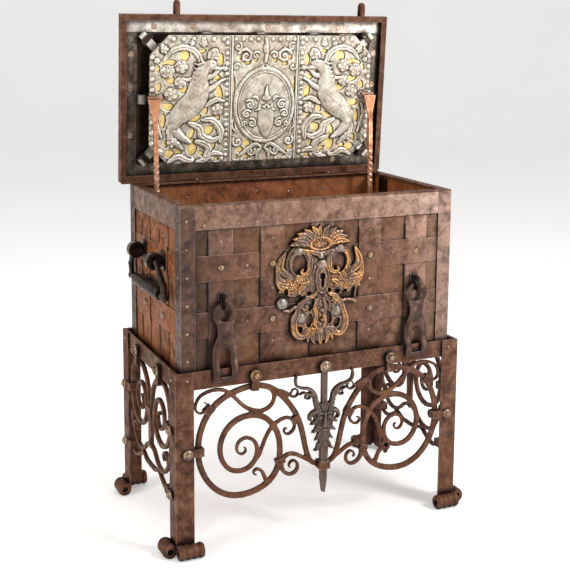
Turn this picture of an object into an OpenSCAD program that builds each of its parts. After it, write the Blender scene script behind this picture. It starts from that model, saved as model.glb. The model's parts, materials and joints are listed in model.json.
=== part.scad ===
/* [Stand] */
// Width of the stand over the leg faces
stand_w = 866; // [856:1:900]
// Depth of the stand over the leg faces
stand_d = 490; // [482:1:530]
// Height of the stand to the top of its frame
stand_h = 505; // [495:1:560]
// Width of each leg flange
leg_w = 52; // [46:1:56]
// Thickness of each leg flange
leg_t = 5.5; // [4.5:0.5:6]
// Radius of the rolled scroll at the end of each leg flange
foot_r = 21; // [18:1:23]
// Length of the toed roll under the front and back flanges
toe_len = 70; // [60:1:74]
// Height of the frame rails
rail_h = 49; // [46:1:52]
// Thickness of the frame rails
rail_t = 5; // [4:0.5:6]
// Width of the inward ledge that carries the chest
ledge_w = 30; // [26:1:40]
// Depth of the scroll bars from front to back
bar_d = 12; // [8:1:13]
// Distance of the scroll bars behind the leg faces
bar_inset = 4; // [3:0.5:6]

/* [Chest] */
// Width of the chest over its corner strips
chest_w = 820; // [812:1:824]
// Depth of the chest over its corner strips
chest_d = 450; // [446:1:454]
// Height of the chest from the ledge to the top of the rim
chest_h = 484; // [470:1:500]
// Thickness of the wall plates
plate_t = 3; // [2:0.5:4]
// Height of the band round the mouth
band_h = 62; // [50:1:70]
// Width of the rim flange, measured inward from the outside
rim_w = 26; // [24:1:28]
// Thickness of the rim flange
rim_t = 4; // [3:0.5:5]
// Width of the corner strips
angle_w = 42; // [36:1:46]
// Width of the straps
strap_w = 70; // [60:1:74]
// Thickness of the straps
strap_t = 2.4; // [1.5:0.1:2.4]
// Distance between the upright straps on the front and back
front_pitch = 148; // [146:1:150]
// Distance between the upright straps on the sides
side_pitch = 160; // [156:1:164]
// Depth of the first level strap below the rim
row_first = 170; // [166:1:176]
// Distance between the level straps
row_pitch = 152; // [148:1:158]

/* [Lid] */
// Overhang of the lid past the chest at the sides
over_x = 24; // [24:1:28]
// Overhang of the lid past the chest at front and back
over_y = 21; // [21:0.5:22]
// Thickness of the lid plate
lid_t = 4; // [3:0.5:5]
// Width of the bars of the lid frame
frame_w = 18; // [14:1:18]
// Depth to which the lid frame hangs below the rim
frame_drop = 16; // [12:1:16]
// Width of the liner band inside the lid
liner_w = 33; // [24:1:33]
// Angle at which the open lid leans on its stays
lid_open = 86; // [86:1:86]
// Distance of the hinge pins behind the chest
hinge_back = 29; // [29:0.5:31]
// Distance of the hinge pins below the rim
hinge_drop = 7; // [6:0.5:8]
// Distance of each hinge from the middle
hinge_x = 222; // [218:1:226]

/* [Lock] */
// Space between the mouth and the covers at the sides
cover_in_x = 24; // [22:0.5:30]
// Space between the mouth and the covers at the front and back
cover_in_y = 9; // [8:0.5:14]
// Size of the cut corners of the covers
cover_cut = 58; // [50:1:62]
// Depth of the lock from its base to the back of the covers
lock_h = 51.5; // [48:0.5:52]
// Width of the bolts
bolt_w = 26; // [20:1:28]
// Thickness of the bolts
bolt_t = 22; // [20:1:24]
// Distance that each bolt slides
throw = 14; // [10:0.5:14]
// Radius at which the thrower pins sit
pin_r = 30; // [30:0.5:32]
// Distance of the outer front and back bolts from the middle
bolt_x = 175; // [160:1:190]

/* [Fittings] */
// Length of each hasp below its staple
hasp_len = 212; // [200:1:215]
// Distance of each hasp from the middle
hasp_x = 292; // [288:1:296]
// Height of the handle pivots below the rim
handle_drop = 168; // [160:1:176]
// Distance of each handle eye from the middle of the side
eye_y = 84; // [80:1:88]
// Radius of the handle bar
handle_r = 8; // [7:0.5:8]
// Radius of the handle grip
grip_r = 17; // [14:1:18]
// Thickness of the stay bars
stay_t = 12; // [10:0.5:12]
// Length of the stays
stay_len = 343; // [340:1:345]

/* [Hidden] */
$fn = 48;

iron = "#6b4a3f";
dark_iron = "#3a2d28";
rust_red = "#a5562f";
gilt = "#b98a4a";
steel_grey = "#b5aea4";
brass = "#e8c97a";
copper = "#b0714f";

// gap between moving pieces, gap at a seat, and running clearance of pins and bores
gap = 0.3;
seat = 0.1;
fit = 0.05;
eps = 0.01;

sx = stand_w / 2;
sy = stand_d / 2;
rail_z = stand_h - rail_h;
ledge_t = 5;
floor_z = rail_z + ledge_t;
rim_z = floor_z + chest_h;
cx = chest_w / 2;
cy = chest_d / 2;
skin = 5;
wx = cx - skin;
wy = cy - skin;
mouth_x = cx - rim_w;
mouth_y = cy - rim_w;
strap_up = strap_t + 0.1;
strap_top = 2 * strap_t + 0.1;
band_z = rim_z - rim_t - band_h;

// covers of the lock, sized to pass the rim flange
cover_w = 2 * (mouth_x - cover_in_x);
cover_d = 2 * (mouth_y - cover_in_y);

lid_x = cx + over_x;
lid_y = cy + over_y;
liner_t = 2.6;
base_z = rim_z + 0.4;
lid_z = base_z + liner_t;
hinge_y = cy + hinge_back;
hinge_z = rim_z - hinge_drop;

// rows and columns of straps, counted from the middle of each wall
front_cols = [for (i = [-2:2]) i * front_pitch];
side_cols = [-side_pitch / 2, side_pitch / 2];
rows = [for (i = [0:1]) rim_z - row_first - i * row_pitch];

// A smooth curve through hand-set points
function blend(a, b, c, d, t) = 0.5 * (2 * b + (c - a) * t + (2 * a - 5 * b + 4 * c - d) * t * t
    + (3 * b - a - 3 * c + d) * t * t * t);
function curve(p, n = 4) = [for (i = [0:len(p) - 2]) for (k = [0:n - 1])
    blend(p[max(i - 1, 0)], p[i], p[i + 1], p[min(i + 2, len(p) - 1)], k / n), p[len(p) - 1]];
function heading(c, i) = let (v = c[min(i + 1, len(c) - 1)] - c[max(i - 1, 0)]) v / norm(v);
function edge(c, w, g, s) = [for (i = [0:len(c) - 1])
    let (t = heading(c, i), h = lookup(i / (len(c) - 1), w) / 2 + g) c[i] + s * h * [-t[1], t[0]]];
function reversed(p) = [for (i = [len(p) - 1:-1:0]) p[i]];

// A flat bar that follows the points p and tapers by the list w
module bar_shape(p, w, g = 0) {
    c = curve(p);
    polygon(concat(edge(c, w, g, 1), reversed(edge(c, w, g, -1))));
}

// Domed head on the XY plane, and the small head of a rivet
module dome(r, h) {
    rotate_extrude($fn = 24)
        polygon([[0, 0], [r, 0], [0.95 * r, 0.4 * h], [0.75 * r, 0.74 * h], [0.42 * r, 0.94 * h], [0, h]]);
}
module rivet(u, z, level, r = 4.5, h = 2.6) {
    translate([u, -level, z]) rotate([90, 0, 0]) cylinder(r1 = r, r2 = 0.55 * r, h = h, $fn = 24);
}

// Places of the four walls: children are drawn with the wall face at y = 0 and outward at -y
module on_front(d) { translate([0, -d, 0]) children(); }
module on_back(d) { mirror([0, 1, 0]) translate([0, -d, 0]) children(); }
module on_left(d) { translate([-d, 0, 0]) rotate(-90) children(); }
module on_right(d) { mirror([1, 0, 0]) on_left(d) children(); }
module both_ways() {
    children();
    mirror([1, 0, 0]) children();
}

// Head that stands on a wall drawn at y = 0
module wall_dome(u, z, level, r, h) {
    translate([u, -level, z]) rotate([90, 0, 0]) dome(r, h);
}

// Turns a profile drawn flat in (u, z) into a plate from depth d0 to depth d1 behind y = 0
module upright(d0, d1) {
    translate([0, d1, 0]) rotate([90, 0, 0]) linear_extrude(d1 - d0) children();
}

/* Stand */

module rail(half, flange_half, thick_half) {
    union() {
        translate([-half, 0, rail_z]) cube([2 * half, rail_t, rail_h]);
        translate([-flange_half, 0, rail_z]) cube([2 * flange_half, ledge_w, ledge_t]);
    }
}

module stand_frame() {
    color(iron) {
        on_front(sy - leg_t) rail(sx - leg_t - seat, sx - leg_t - seat);
        on_back(sy - leg_t) rail(sx - leg_t - seat, sx - leg_t - seat);
        on_left(sx - leg_t) rail(sy - leg_t - rail_t - seat, sy - leg_t - ledge_w - seat);
        on_right(sx - leg_t) rail(sy - leg_t - rail_t - seat, sy - leg_t - ledge_w - seat);
    }
}

// Roll with reeds, its axis along +X from the origin
module reeded_roll(length, reeds) {
    steps = 6;
    reed = length / reeds;
    rotate([0, 90, 0]) rotate_extrude() polygon(concat(
        [[foot_r - 12, 0]],
        [for (i = [0:reeds * steps]) [foot_r - 3 + 3 * abs(sin(180 * i / steps)), i * reed / steps]],
        [[foot_r - 12, length]]));
}

// Leg with its outer corner at the origin, flanges along +X and +Y
module leg() {
    roll_z = foot_r - 1;
    difference() {
        union() {
            translate([0, 0, roll_z]) cube([leg_w, leg_t, stand_h - roll_z]);
            translate([0, 0, roll_z]) cube([leg_t, leg_w, stand_h - roll_z]);
            translate([0, leg_t - foot_r, roll_z]) reeded_roll(toe_len, 4);
            translate([leg_t - foot_r, 0, roll_z]) rotate(90) reeded_roll(leg_w + 6, 3);
        }
        translate([-100, -100, -50]) cube([300, 300, 50]);
    }
}

module leg_at(right, rear) {
    color(iron) mirror([right, 0, 0]) mirror([0, rear, 0]) translate([-sx, -sy, 0]) leg();
}
module leg_front_left() { leg_at(0, 0); }
module leg_front_right() { leg_at(1, 0); }
module leg_rear_left() { leg_at(0, 1); }
module leg_rear_right() { leg_at(1, 1); }

// Heights of the scrolls are drawn for a rail 456 above the floor, and follow the rail
scroll_k = rail_z / 456;
function lift(p) = [for (q = p) [q[0], q[1] * scroll_k]];

// Front scrolls: distance from the middle and height
great_scroll = lift([[0.2, 192], [20, 196], [38, 209], [51, 245], [62, 295], [76, 338], [98, 375],
    [122, 404], [150, 429], [180, 442], [210, 446], [245, 441], [282, 429], [318, 407], [345, 374],
    [362, 331], [367, 288], [362, 245], [343, 201], [312, 166], [276, 147], [240, 142], [205, 147],
    [171, 161], [147, 183], [133, 213], [129, 248], [132, 285], [143, 315], [163, 342], [190, 359],
    [222, 364], [255, 357], [283, 337], [300, 308], [305, 275], [296, 243], [275, 219], [245, 211],
    [216, 220], [200, 243], [197, 268], [207, 291], [229, 302], [249, 295], [257, 278], [252, 263],
    [241, 258], [231, 264], [231, 273], [237, 276]]);
great_taper = [[0, 13], [0.1, 16], [0.62, 16], [0.8, 12], [0.92, 7], [1, 4]];
leaf_branch = lift([[222, 219], [194, 243], [181, 272], [170, 298], [152, 323], [126, 339], [104, 341],
    [89, 329], [86, 311], [95, 298], [108, 294], [117, 302], [115, 311], [107, 312]]);
leaf_taper = [[0, 9], [0.35, 10], [0.7, 8], [1, 3.5]];
upper_scroll = lift([[350, 419], [341, 411], [344, 397], [358, 389], [371, 396], [374, 413], [362, 435],
    [338, 446], [308, 448], [282, 438], [261, 418], [238, 394], [212, 378], [184, 372], [160, 381],
    [148, 399], [150, 418], [166, 436]]);
upper_taper = [[0, 3.5], [0.2, 6], [0.5, 10], [0.7, 12], [1, 9]];
top_curl = lift([[146, 425], [120, 417], [104, 408], [92, 399], [81, 400], [76, 410], [82, 420], [93, 418],
    [96, 409]]);
top_taper = [[0, 12], [0.4, 7], [0.7, 5], [1, 3]];
low_scroll = lift([[34, 203], [56, 217], [79, 231], [100, 236], [116, 229], [124, 211], [120, 192],
    [106, 179], [88, 178], [76, 190], [77, 206], [88, 215], [98, 211], [102, 202], [97, 195]]);
low_taper = [[0, 10], [0.3, 12], [0.6, 10], [1, 4]];
ring_curl = lift([[166, 163], [174, 180], [182, 198], [196, 208], [207, 203], [206, 194], [198, 193]]);
ring_taper = [[0, 13], [0.5, 8], [1, 3.5]];

module front_scroll_shape(g = 0) {
    bar_shape(great_scroll, great_taper, g);
    bar_shape(leaf_branch, leaf_taper, g);
    bar_shape(upper_scroll, upper_taper, g);
    bar_shape(top_curl, top_taper, g);
    bar_shape(low_scroll, low_taper, g);
    bar_shape(ring_curl, ring_taper, g);
}

// each half is cut square where the two meet on the middle line
module front_scroll_right() {
    color(iron) on_front(sy) difference() {
        upright(bar_inset, bar_inset + bar_d) front_scroll_shape();
        translate([-40, -1, 100]) cube([40 + gap / 2, bar_inset + bar_d + 2, stand_h - 100]);
    }
}
module front_scroll_left() { mirror([1, 0, 0]) front_scroll_right(); }

// Side scrolls, the same on both sides of the middle
side_volute = lift([[0.2, 222], [5, 250], [7, 300], [12, 355], [28, 402], [60, 434], [100, 446],
    [138, 436], [166, 405], [177, 360], [172, 315], [150, 281], [115, 263], [78, 265], [48, 287],
    [36, 322], [45, 360], [72, 384], [105, 380], [124, 352], [120, 323], [98, 306], [76, 312],
    [67, 333], [78, 350], [93, 347]]);
side_taper = [[0, 12], [0.2, 14], [0.6, 13], [0.85, 8], [1, 4]];
side_rise = lift([[0.2, 228], [30, 221], [58, 199], [86, 188], [120, 191], [150, 214], [171, 250],
    [179, 285]]);
side_foot = lift([[0.2, 166], [40, 168], [72, 178], [104, 162], [140, 149], [168, 157], [187, 171]]);
side_low_taper = [[0, 11], [0.5, 11], [1, 8]];
side_curl = lift([[158, 224], [150, 243], [134, 252], [119, 246], [117, 233], [128, 228], [134, 236]]);
side_curl_taper = [[0, 10], [0.5, 7], [1, 3.5]];

module side_scroll_half(g = 0) {
    bar_shape(side_volute, side_taper, g);
    bar_shape(side_rise, side_low_taper, g);
    bar_shape(side_foot, side_low_taper, g);
    bar_shape(side_curl, side_curl_taper, g);
    // the two halves are welded at the middle
    translate([-0.01, side_rise[0][1] - 14]) square([0.21, 20]);
    translate([-0.01, side_foot[0][1] - 5.5]) square([0.21, 11]);
}

module side_scroll_shape(g = 0) {
    both_ways() side_scroll_half(g);
}

module side_scroll_left() {
    color(iron) on_left(sx) upright(bar_inset, bar_inset + bar_d) side_scroll_shape();
}
module side_scroll_right() { mirror([1, 0, 0]) side_scroll_left(); }

// Collar round the bars at (u, z), turned by a
module collar(u, z, l, h, a) {
    translate([u, 0, z]) rotate([0, -a, 0])
        translate([-l / 2, bar_inset - 3.3, -h / 2]) cube([l, bar_d + 6.6, h]);
}

// Hook on a domed boss: it hangs from the rail, or from a leg when turned
module rail_hook(u, z) {
    translate([u - 10, -5, z - 12]) cube([20, bar_inset + bar_d + 9, 21]);
    translate([u - 10, -5, z - 12]) cube([20, 5 + leg_t - seat, stand_h - z]);
    wall_dome(u, stand_h - 27, 5 - eps, 15, 10);
}
module leg_hook(u, z, half) {
    translate([u - 13, -5, z - 11]) cube([half - leg_w - u + 12.8, bar_inset + bar_d + 9, 22]);
    translate([u - 13, -5, z - 9]) cube([half - 20 - u, 5 - seat, 18]);
    wall_dome(half - 33, z, 5 - eps, 13, 9);
}

module front_clips() {
    difference() {
        union() {
            rail_hook(207, rail_z - 9);
            leg_hook(367, 285 * scroll_k, sx);
        }
        upright(bar_inset - gap, bar_inset + bar_d + gap) bar_shape(great_scroll, great_taper, gap);
    }
    difference() {
        collar(129, 221 * scroll_k, 26, 18, -20);
        upright(bar_inset - gap, bar_inset + bar_d + gap) {
            bar_shape(great_scroll, great_taper, gap);
            bar_shape(low_scroll, low_taper, gap);
        }
    }
    difference() {
        collar(337, 395 * scroll_k, 26, 22, -42);
        upright(bar_inset - gap, bar_inset + bar_d + gap) {
            bar_shape(great_scroll, great_taper, gap);
            bar_shape(upper_scroll, upper_taper, gap);
        }
    }
    difference() {
        collar(82, 334 * scroll_k, 26, 20, -30);
        upright(bar_inset - gap, bar_inset + bar_d + gap) {
            bar_shape(great_scroll, great_taper, gap);
            bar_shape(leaf_branch, leaf_taper, gap);
        }
    }
}

module side_clips() {
    both_ways() difference() {
        union() {
            rail_hook(100, rail_z - 9);
            leg_hook(177, 345 * scroll_k, sy);
        }
        upright(bar_inset - gap, bar_inset + bar_d + gap) bar_shape(side_volute, side_taper, gap);
    }
    both_ways() difference() {
        leg_hook(176, 166 * scroll_k, sy);
        upright(bar_inset - gap, bar_inset + bar_d + gap) bar_shape(side_foot, side_low_taper, gap);
    }
    difference() {
        collar(0, 330 * scroll_k, 34, 20, 0);
        upright(bar_inset - gap, bar_inset + bar_d + gap) side_scroll_shape(gap);
    }
}

module scroll_clips() {
    color(iron) {
        on_front(sy) both_ways() front_clips();
        on_front(sy) difference() {
            translate([-16, -pendant_out - 3.4, great_scroll[0][1] - 10])
                cube([32, pendant_out + bar_inset + bar_d + 6.8, 23]);
            upright(bar_inset - gap, bar_inset + bar_d + gap) both_ways() {
                bar_shape(great_scroll, great_taper, gap);
                translate([-1, great_scroll[0][1] - 7 - gap]) square([2, 14 + 2 * gap]);
            }
            upright(-pendant_out - gap, bar_inset - gap) pendant_shape(gap);
        }
        on_left(sx) side_clips();
        on_right(sx) side_clips();
    }
}

// Leaf ornament that hangs on a bar in front of the scrolls
pendant_out = 8;
pendant_half = lift([[9, 372], [20, 366], [34, 362], [46, 350], [50, 336], [60, 331], [56, 318], [61, 308],
    [50, 292], [36, 274], [27, 258], [32, 248], [42, 244], [38, 234], [24, 234], [13, 226], [12, 205],
    [10, 160], [8, 126]]);
horn = lift([[88, 450], [88, 436], [76, 424], [58, 418], [43, 408], [35, 392], [30, 372], [22, 352]]);
horn_taper = [[0, 5], [0.4, 9], [0.8, 15], [1, 15]];
horn_tip = lift([[80, 402], [62, 405], [47, 402], [36, 390]]);
horn_curl = lift([[34, 380], [46, 384], [54, 390], [53, 398]]);

module pendant_shape(g = 0) {
    both_ways() {
        translate([-9 - g, 360 * scroll_k]) square([18 + 2 * g, rail_z - 360 * scroll_k + 1]);
        polygon(concat([[-0.5, 372 * scroll_k]], [for (p = pendant_half) p + [g, 0]],
            [[3, 116 * scroll_k - g], [-0.5, 115 * scroll_k - g]]));
        bar_shape(horn, horn_taper, g);
        bar_shape(horn_tip, [[0, 3.5], [1, 7]], g);
        bar_shape(horn_curl, [[0, 8], [1, 3.5]], g);
    }
}

module pendant_ornament() {
    color(dark_iron) on_front(sy) {
        upright(-pendant_out, bar_inset - gap) pendant_shape();
        translate([-9, -pendant_out, rail_z - 1]) cube([18, pendant_out + leg_t - seat, 24]);
        wall_dome(0, rail_z + 22, pendant_out - eps, 16, 10);
        wall_dome(0, 318 * scroll_k, pendant_out - eps, 24, 12);
        both_ways() wall_dome(31, 322 * scroll_k, pendant_out - eps, 13, 8);
    }
}

/* Chest */

module wall_plate(half, z0) {
    translate([-half, 0, z0]) cube([2 * half, plate_t, rim_z - rim_t - z0]);
}
module chest_front() { color(rust_red) on_front(wy) wall_plate(wx, floor_z); }
module chest_back() { color(rust_red) on_back(wy) wall_plate(wx, floor_z); }
module chest_left() { color(rust_red) on_left(wx) wall_plate(wy - plate_t - seat, floor_z); }
module chest_right() { color(rust_red) on_right(wx) wall_plate(wy - plate_t - seat, floor_z); }
module chest_floor() {
    color(rust_red) translate([-wx + plate_t + seat, -wy + plate_t + seat, floor_z])
        cube([2 * (wx - plate_t - seat), 2 * (wy - plate_t - seat), plate_t]);
}

module band(half) {
    translate([-half, 0, band_z]) cube([2 * half, skin, band_h]);
}
module rim_band() {
    color(iron) {
        on_front(cy) band(cx - angle_w - seat);
        on_back(cy) band(cx - angle_w - seat);
        on_left(cx) band(cy - angle_w - seat);
        on_right(cx) band(cy - angle_w - seat);
    }
}

module rim_flange() {
    color(iron) {
        on_front(cy) translate([-cx, 0, rim_z - rim_t]) cube([2 * cx, rim_w, rim_t]);
        on_back(cy) translate([-cx, 0, rim_z - rim_t]) cube([2 * cx, rim_w, rim_t]);
        on_left(cx) translate([-mouth_y + seat, 0, rim_z - rim_t]) cube([2 * (mouth_y - seat), rim_w, rim_t]);
        on_right(cx) translate([-mouth_y + seat, 0, rim_z - rim_t]) cube([2 * (mouth_y - seat), rim_w, rim_t]);
    }
}

module corner_strips() {
    color(iron) both_ways() for (rear = [0, 1]) mirror([0, rear, 0])
        translate([-cx, -cy, floor_z]) {
            cube([angle_w, skin, rim_z - rim_t - floor_z]);
            translate([0, skin - eps, 0]) cube([skin, angle_w - skin, rim_z - rim_t - floor_z]);
        }
}

// Side view of a strap from a to b that steps over the crossings listed in over
function step_line(over, h) = [for (c = over) each [[c - strap_w / 2 - 15, h], [c - strap_w / 2 - 3, h + strap_up],
    [c + strap_w / 2 + 3, h + strap_up], [c + strap_w / 2 + 15, h]]];
module strap_side(a, b, over) {
    polygon(concat([[a, 0]], step_line(over, 0), [[b, 0], [b, strap_t]],
        reversed(step_line(over, strap_t)), [[a, strap_t]]));
}

module upright_strap(u, a, b, over) {
    translate([u - strap_w / 2, 0, 0]) rotate([0, -90, 180]) linear_extrude(strap_w) strap_side(a, b, over);
}
module level_strap(z, a, b, over) {
    translate([0, 0, z + strap_w / 2]) rotate([180, 0, 0]) linear_extrude(strap_w) strap_side(a, b, over);
}

// Straps woven over and under each other on a wall that is drawn at y = 0
module weave(cols, levels, a, b, half) {
    for (i = [0:len(cols) - 1])
        upright_strap(cols[i], a, b, [for (k = [len(levels) - 1:-1:0]) if ((i + k) % 2 == 1) levels[k]]);
    for (k = [0:len(levels) - 1])
        level_strap(levels[k], -half, half, [for (i = [0:len(cols) - 1]) if ((i + k) % 2 == 0) cols[i]]);
}

strap_z0 = floor_z + seat;
strap_z1 = band_z - seat;
module front_straps() {
    color(iron) on_front(wy) weave(front_cols, rows, strap_z0, strap_z1, cx - angle_w - seat);
}
module back_straps() {
    color(iron) on_back(wy) weave(front_cols, rows, strap_z0, strap_z1, cx - angle_w - seat);
}
module left_straps() {
    color(iron) on_left(wx) weave(side_cols, rows, strap_z0, strap_z1, cy - angle_w - seat);
}
module right_straps() {
    color(iron) on_right(wx) weave(side_cols, rows, strap_z0, strap_z1, cy - angle_w - seat);
}

module strap_studs() {
    color(dark_iron) {
        for (i = [-2, -1, 1, 2], k = [0, 1])
            if (k == 0 || abs(i) < 2)
                on_front(wy) wall_dome(i * front_pitch, rows[k], strap_top, 10, 7);
        for (i = [-2:2], k = [0, 1]) on_back(wy) wall_dome(i * front_pitch, rows[k], strap_top, 10, 7);
        for (u = side_cols) {
            on_left(wx) wall_dome(u, rows[1], strap_top, 10, 7);
            on_right(wx) wall_dome(u, rows[1], strap_top, 10, 7);
        }
    }
}

// Small rivets of one wall: band, corner strips and straps
module wall_rivets(half, cols, skip, off, far = 1000) {
    for (u = cols) for (v = off) rivet(u + v * front_pitch, band_z + 12, skin);
    for (s = [-1, 1]) for (k = [0:5]) rivet(s * (half - 18), rim_z - 40 - k * 75, skin);
    for (u = cols) if (abs(u) > skip) {
        rivet(u, (rows[0] + band_z + strap_w / 2) / 2, strap_t);
        if (abs(u) < far) rivet(u, (rows[0] + rows[1]) / 2 + 8, strap_t);
        rivet(u, rows[1] - 62, strap_t);
    }
    for (i = [0:len(cols) - 2]) for (z = rows)
        if (abs(cols[i] + cols[i + 1]) / 2 > skip) rivet((cols[i] + cols[i + 1]) / 2, z, strap_t);
}

module chest_rivets() {
    color(dark_iron) {
        on_front(wy) wall_rivets(cx, front_cols, 90, [-0.32, 0.32], hasp_x - 60);
        on_back(wy) wall_rivets(cx, front_cols, -1, [0]);
        on_left(wx) wall_rivets(cy, side_cols, 70, [-0.32, 0.32]);
        on_right(wx) wall_rivets(cy, side_cols, 70, [-0.32, 0.32]);
        // rivets through the leg heads into the frame
        both_ways() on_front(sy) rivet(sx - 33, stand_h - 20, 0, 5, 4);
        both_ways() on_back(sy) rivet(sx - 33, stand_h - 20, 0, 5, 4);
        on_left(sx) both_ways() rivet(sy - 30, stand_h - 22, 0, 5, 4);
        on_right(sx) both_ways() rivet(sy - 30, stand_h - 22, 0, 5, 4);
    }
}

// Cartouche over the false keyhole: a fan of leaves, two eyed volutes, feathery wings and curls below.
// It is drawn round its own middle line, which stands a little left of the chest's.
scut_x = -8;
scut_z = rim_z - 945;
scut_t = 4;
scut_fan = [[0, 872], [28, 862], [50, 848], [72, 840], [88, 828]];
scut_feathers = [[96, 806], [118, 780], [131, 750], [131, 726], [124, 702], [122, 680]];
scut_loop = [[26, 668], [54, 662], [74, 638], [84, 608], [78, 582], [58, 564], [34, 562], [16, 580]];
scut_tail = [[0, 535], [18, 541], [36, 549]];
module leaf(from, to, w) {
    bar_shape([from, (from + to) / 2, to], [[0, 0.7 * w], [0.5, w], [0.85, 0.6 * w], [1, 4]]);
}
module scut_half() {
    for (tip = scut_fan) leaf([0.3 * tip[0], 822], tip, 24);
    for (tip = scut_feathers) leaf([46, 716 + 0.2 * (tip[1] - 740)], tip, 27);
    bar_shape([[-1, 802], [30, 802], [62, 805]], [[0, 34], [1, 24]]);
    translate([62, 808]) circle(r = 14);
    translate([56, 770]) circle(r = 36);
    translate([-1, 650]) square([24, 150]);
    translate([0, 716]) circle(r = 62);
    translate([34, 656]) circle(r = 33);
    bar_shape(scut_loop, [[0, 20], [0.5, 19], [1, 16]]);
    translate([114, 668]) circle(r = 16);
    bar_shape([[52, 658], [84, 660], [108, 664]], [[0, 26], [1, 22]]);
    translate([56, 618]) circle(r = 17);
    translate([-1, 565]) square([14, 90]);
    leaf([8, 650], [42, 598], 20);
    for (tip = scut_tail) leaf([0.4 * tip[0], 584], tip, 20);
}
module escutcheon_shape() {
    difference() {
        both_ways() scut_half();
        translate([0, 820]) scale([2.3, 1]) circle(r = 10);
        both_ways() for (hole = [[57, 768, 20], [40, 684, 6], [60, 690, 6], [66, 592, 11]])
            translate([hole[0], hole[1]]) circle(r = hole[2]);
        translate([0, 729]) circle(r = 8);
        translate([-4.5, 699]) square([9, 28]);
    }
}
module escutcheon() {
    color(gilt) on_front(cy) translate([scut_x, 0, scut_z]) difference() {
        union() {
            upright(-scut_t, -seat) escutcheon_shape();
            wall_dome(0, 848, scut_t - eps, 14, 6);
            both_ways() {
                wall_dome(62, 808, scut_t - eps, 12, 6);
                wall_dome(84, 722, scut_t - eps, 17, 6);
                wall_dome(113, 668, scut_t - eps, 14, 8);
                wall_dome(34, 652, scut_t - eps, 15, 6);
                wall_dome(56, 618, scut_t - eps, 15, 8);
            }
            wall_dome(0, 724, scut_t - eps, 22, 7);
            wall_dome(0, 786, scut_t - eps, 13, 7);
            wall_dome(0, 628, scut_t - eps, 10, 7);
            wall_dome(0, 572, scut_t - eps, 14, 7);
        }
        translate([0, 1, 729]) rotate([90, 0, 0]) cylinder(r = 8, h = 20);
        translate([-4.5, -19, 699]) cube([9, 20, 28]);
    }
}

/* Hasps */

// the staple plate starts just above the step of the second level strap
plate_z = rows[1] + strap_w / 2 + 16;
staple_z = plate_z + 10;
staple_r = 17;
staple_bar = 5.5;
staple_face = wy + strap_t + 3;
staple_y = staple_face + staple_r - 1.5;

module hasp_staples() {
    color(iron) for (s = [-1, 1]) difference() {
        union() {
            translate([s * hasp_x, -staple_y, staple_z]) rotate([0, 90, 0])
                rotate_extrude() translate([staple_r, 0]) circle(r = staple_bar, $fn = 24);
            translate([s * hasp_x - 13, -staple_face, plate_z]) cube([26, 3, 34]);
        }
        translate([s * hasp_x - 20, -staple_face + 3, staple_z - 40]) cube([40, 30, 80]);
    }
}

// Hasp hanging at rest, seen from the front with the pivot at the origin
hasp_t = 5;
waist = 20;
body_half = 35;
hasp_eye_r = 20;
hasp_eye_z = -(staple_r - staple_bar - 0.8 + hasp_eye_r);
module hasp_face() {
    difference() {
        union() {
            translate([0, hasp_eye_z]) circle(r = hasp_eye_r + 13);
            polygon([[-24, -54], [-waist, -72], [-waist, -88], [-30, -112], [-body_half, -130],
                [-body_half, -hasp_len], [body_half, -hasp_len], [body_half, -130], [30, -112],
                [waist, -88], [waist, -72], [24, -54]]);
        }
        translate([0, hasp_eye_z]) circle(r = hasp_eye_r);
        translate([0, -140]) circle(r = 17);
        translate([-17, -hasp_len + 13]) square([34, hasp_len - 153]);
    }
}

// Side profile of the hasp: flat, then stepped outward over the frame rail
module hasp_side() {
    foot = staple_y + 8;
    step_z = -(staple_z - stand_h - 22);
    polygon([[-hasp_t / 2, 10], [hasp_t / 2, 10], [hasp_t / 2, step_z - 10], [-4.5, step_z - 22],
        [-4.5, -hasp_len - 1], [-9.5, -hasp_len - 1], [-9.5, step_z - 22], [-hasp_t / 2, step_z - 8]]);
}

module hasp() {
    intersection() {
        upright(-20, 20) hasp_face();
        translate([-50, 0, 0]) rotate([90, 0, 90]) linear_extrude(100) hasp_side();
    }
}
module hasp_left() { color(iron) translate([-hasp_x, -staple_y, staple_z]) hasp(); }
module hasp_right() { color(iron) translate([hasp_x, -staple_y, staple_z]) hasp(); }

/* Handles */

handle_z = rim_z - handle_drop;
eye_r = 24;
eye_t = 20;
eye_out = 32;
module handle_eye(u) {
    translate([u - eye_t / 2, 0, 0]) difference() {
        union() {
            translate([0, -eye_out, handle_z]) rotate([0, 90, 0]) cylinder(r = eye_r, h = eye_t);
            translate([0, -eye_out, handle_z - 14]) cube([eye_t, eye_out - skin - seat, 28]);
            translate([-8, -skin - 5, handle_z - 24]) cube([eye_t + 16, 5 - seat, 48]);
        }
        translate([-10, -eye_out, handle_z]) rotate([0, 90, 0]) cylinder(r = handle_r + fit, h = eye_t + 20);
    }
}
module handle_eyes() {
    color(dark_iron) {
        on_left(wx) for (s = [-1, 1]) handle_eye(s * eye_y);
        on_right(wx) for (s = [-1, 1]) handle_eye(s * eye_y);
    }
}

// A round rod between two points
module rod(a, b, r) {
    v = b - a;
    translate(a) rotate([0, acos(v[2] / norm(v)), atan2(v[1], v[0])]) cylinder(r = r, h = norm(v));
}

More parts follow.
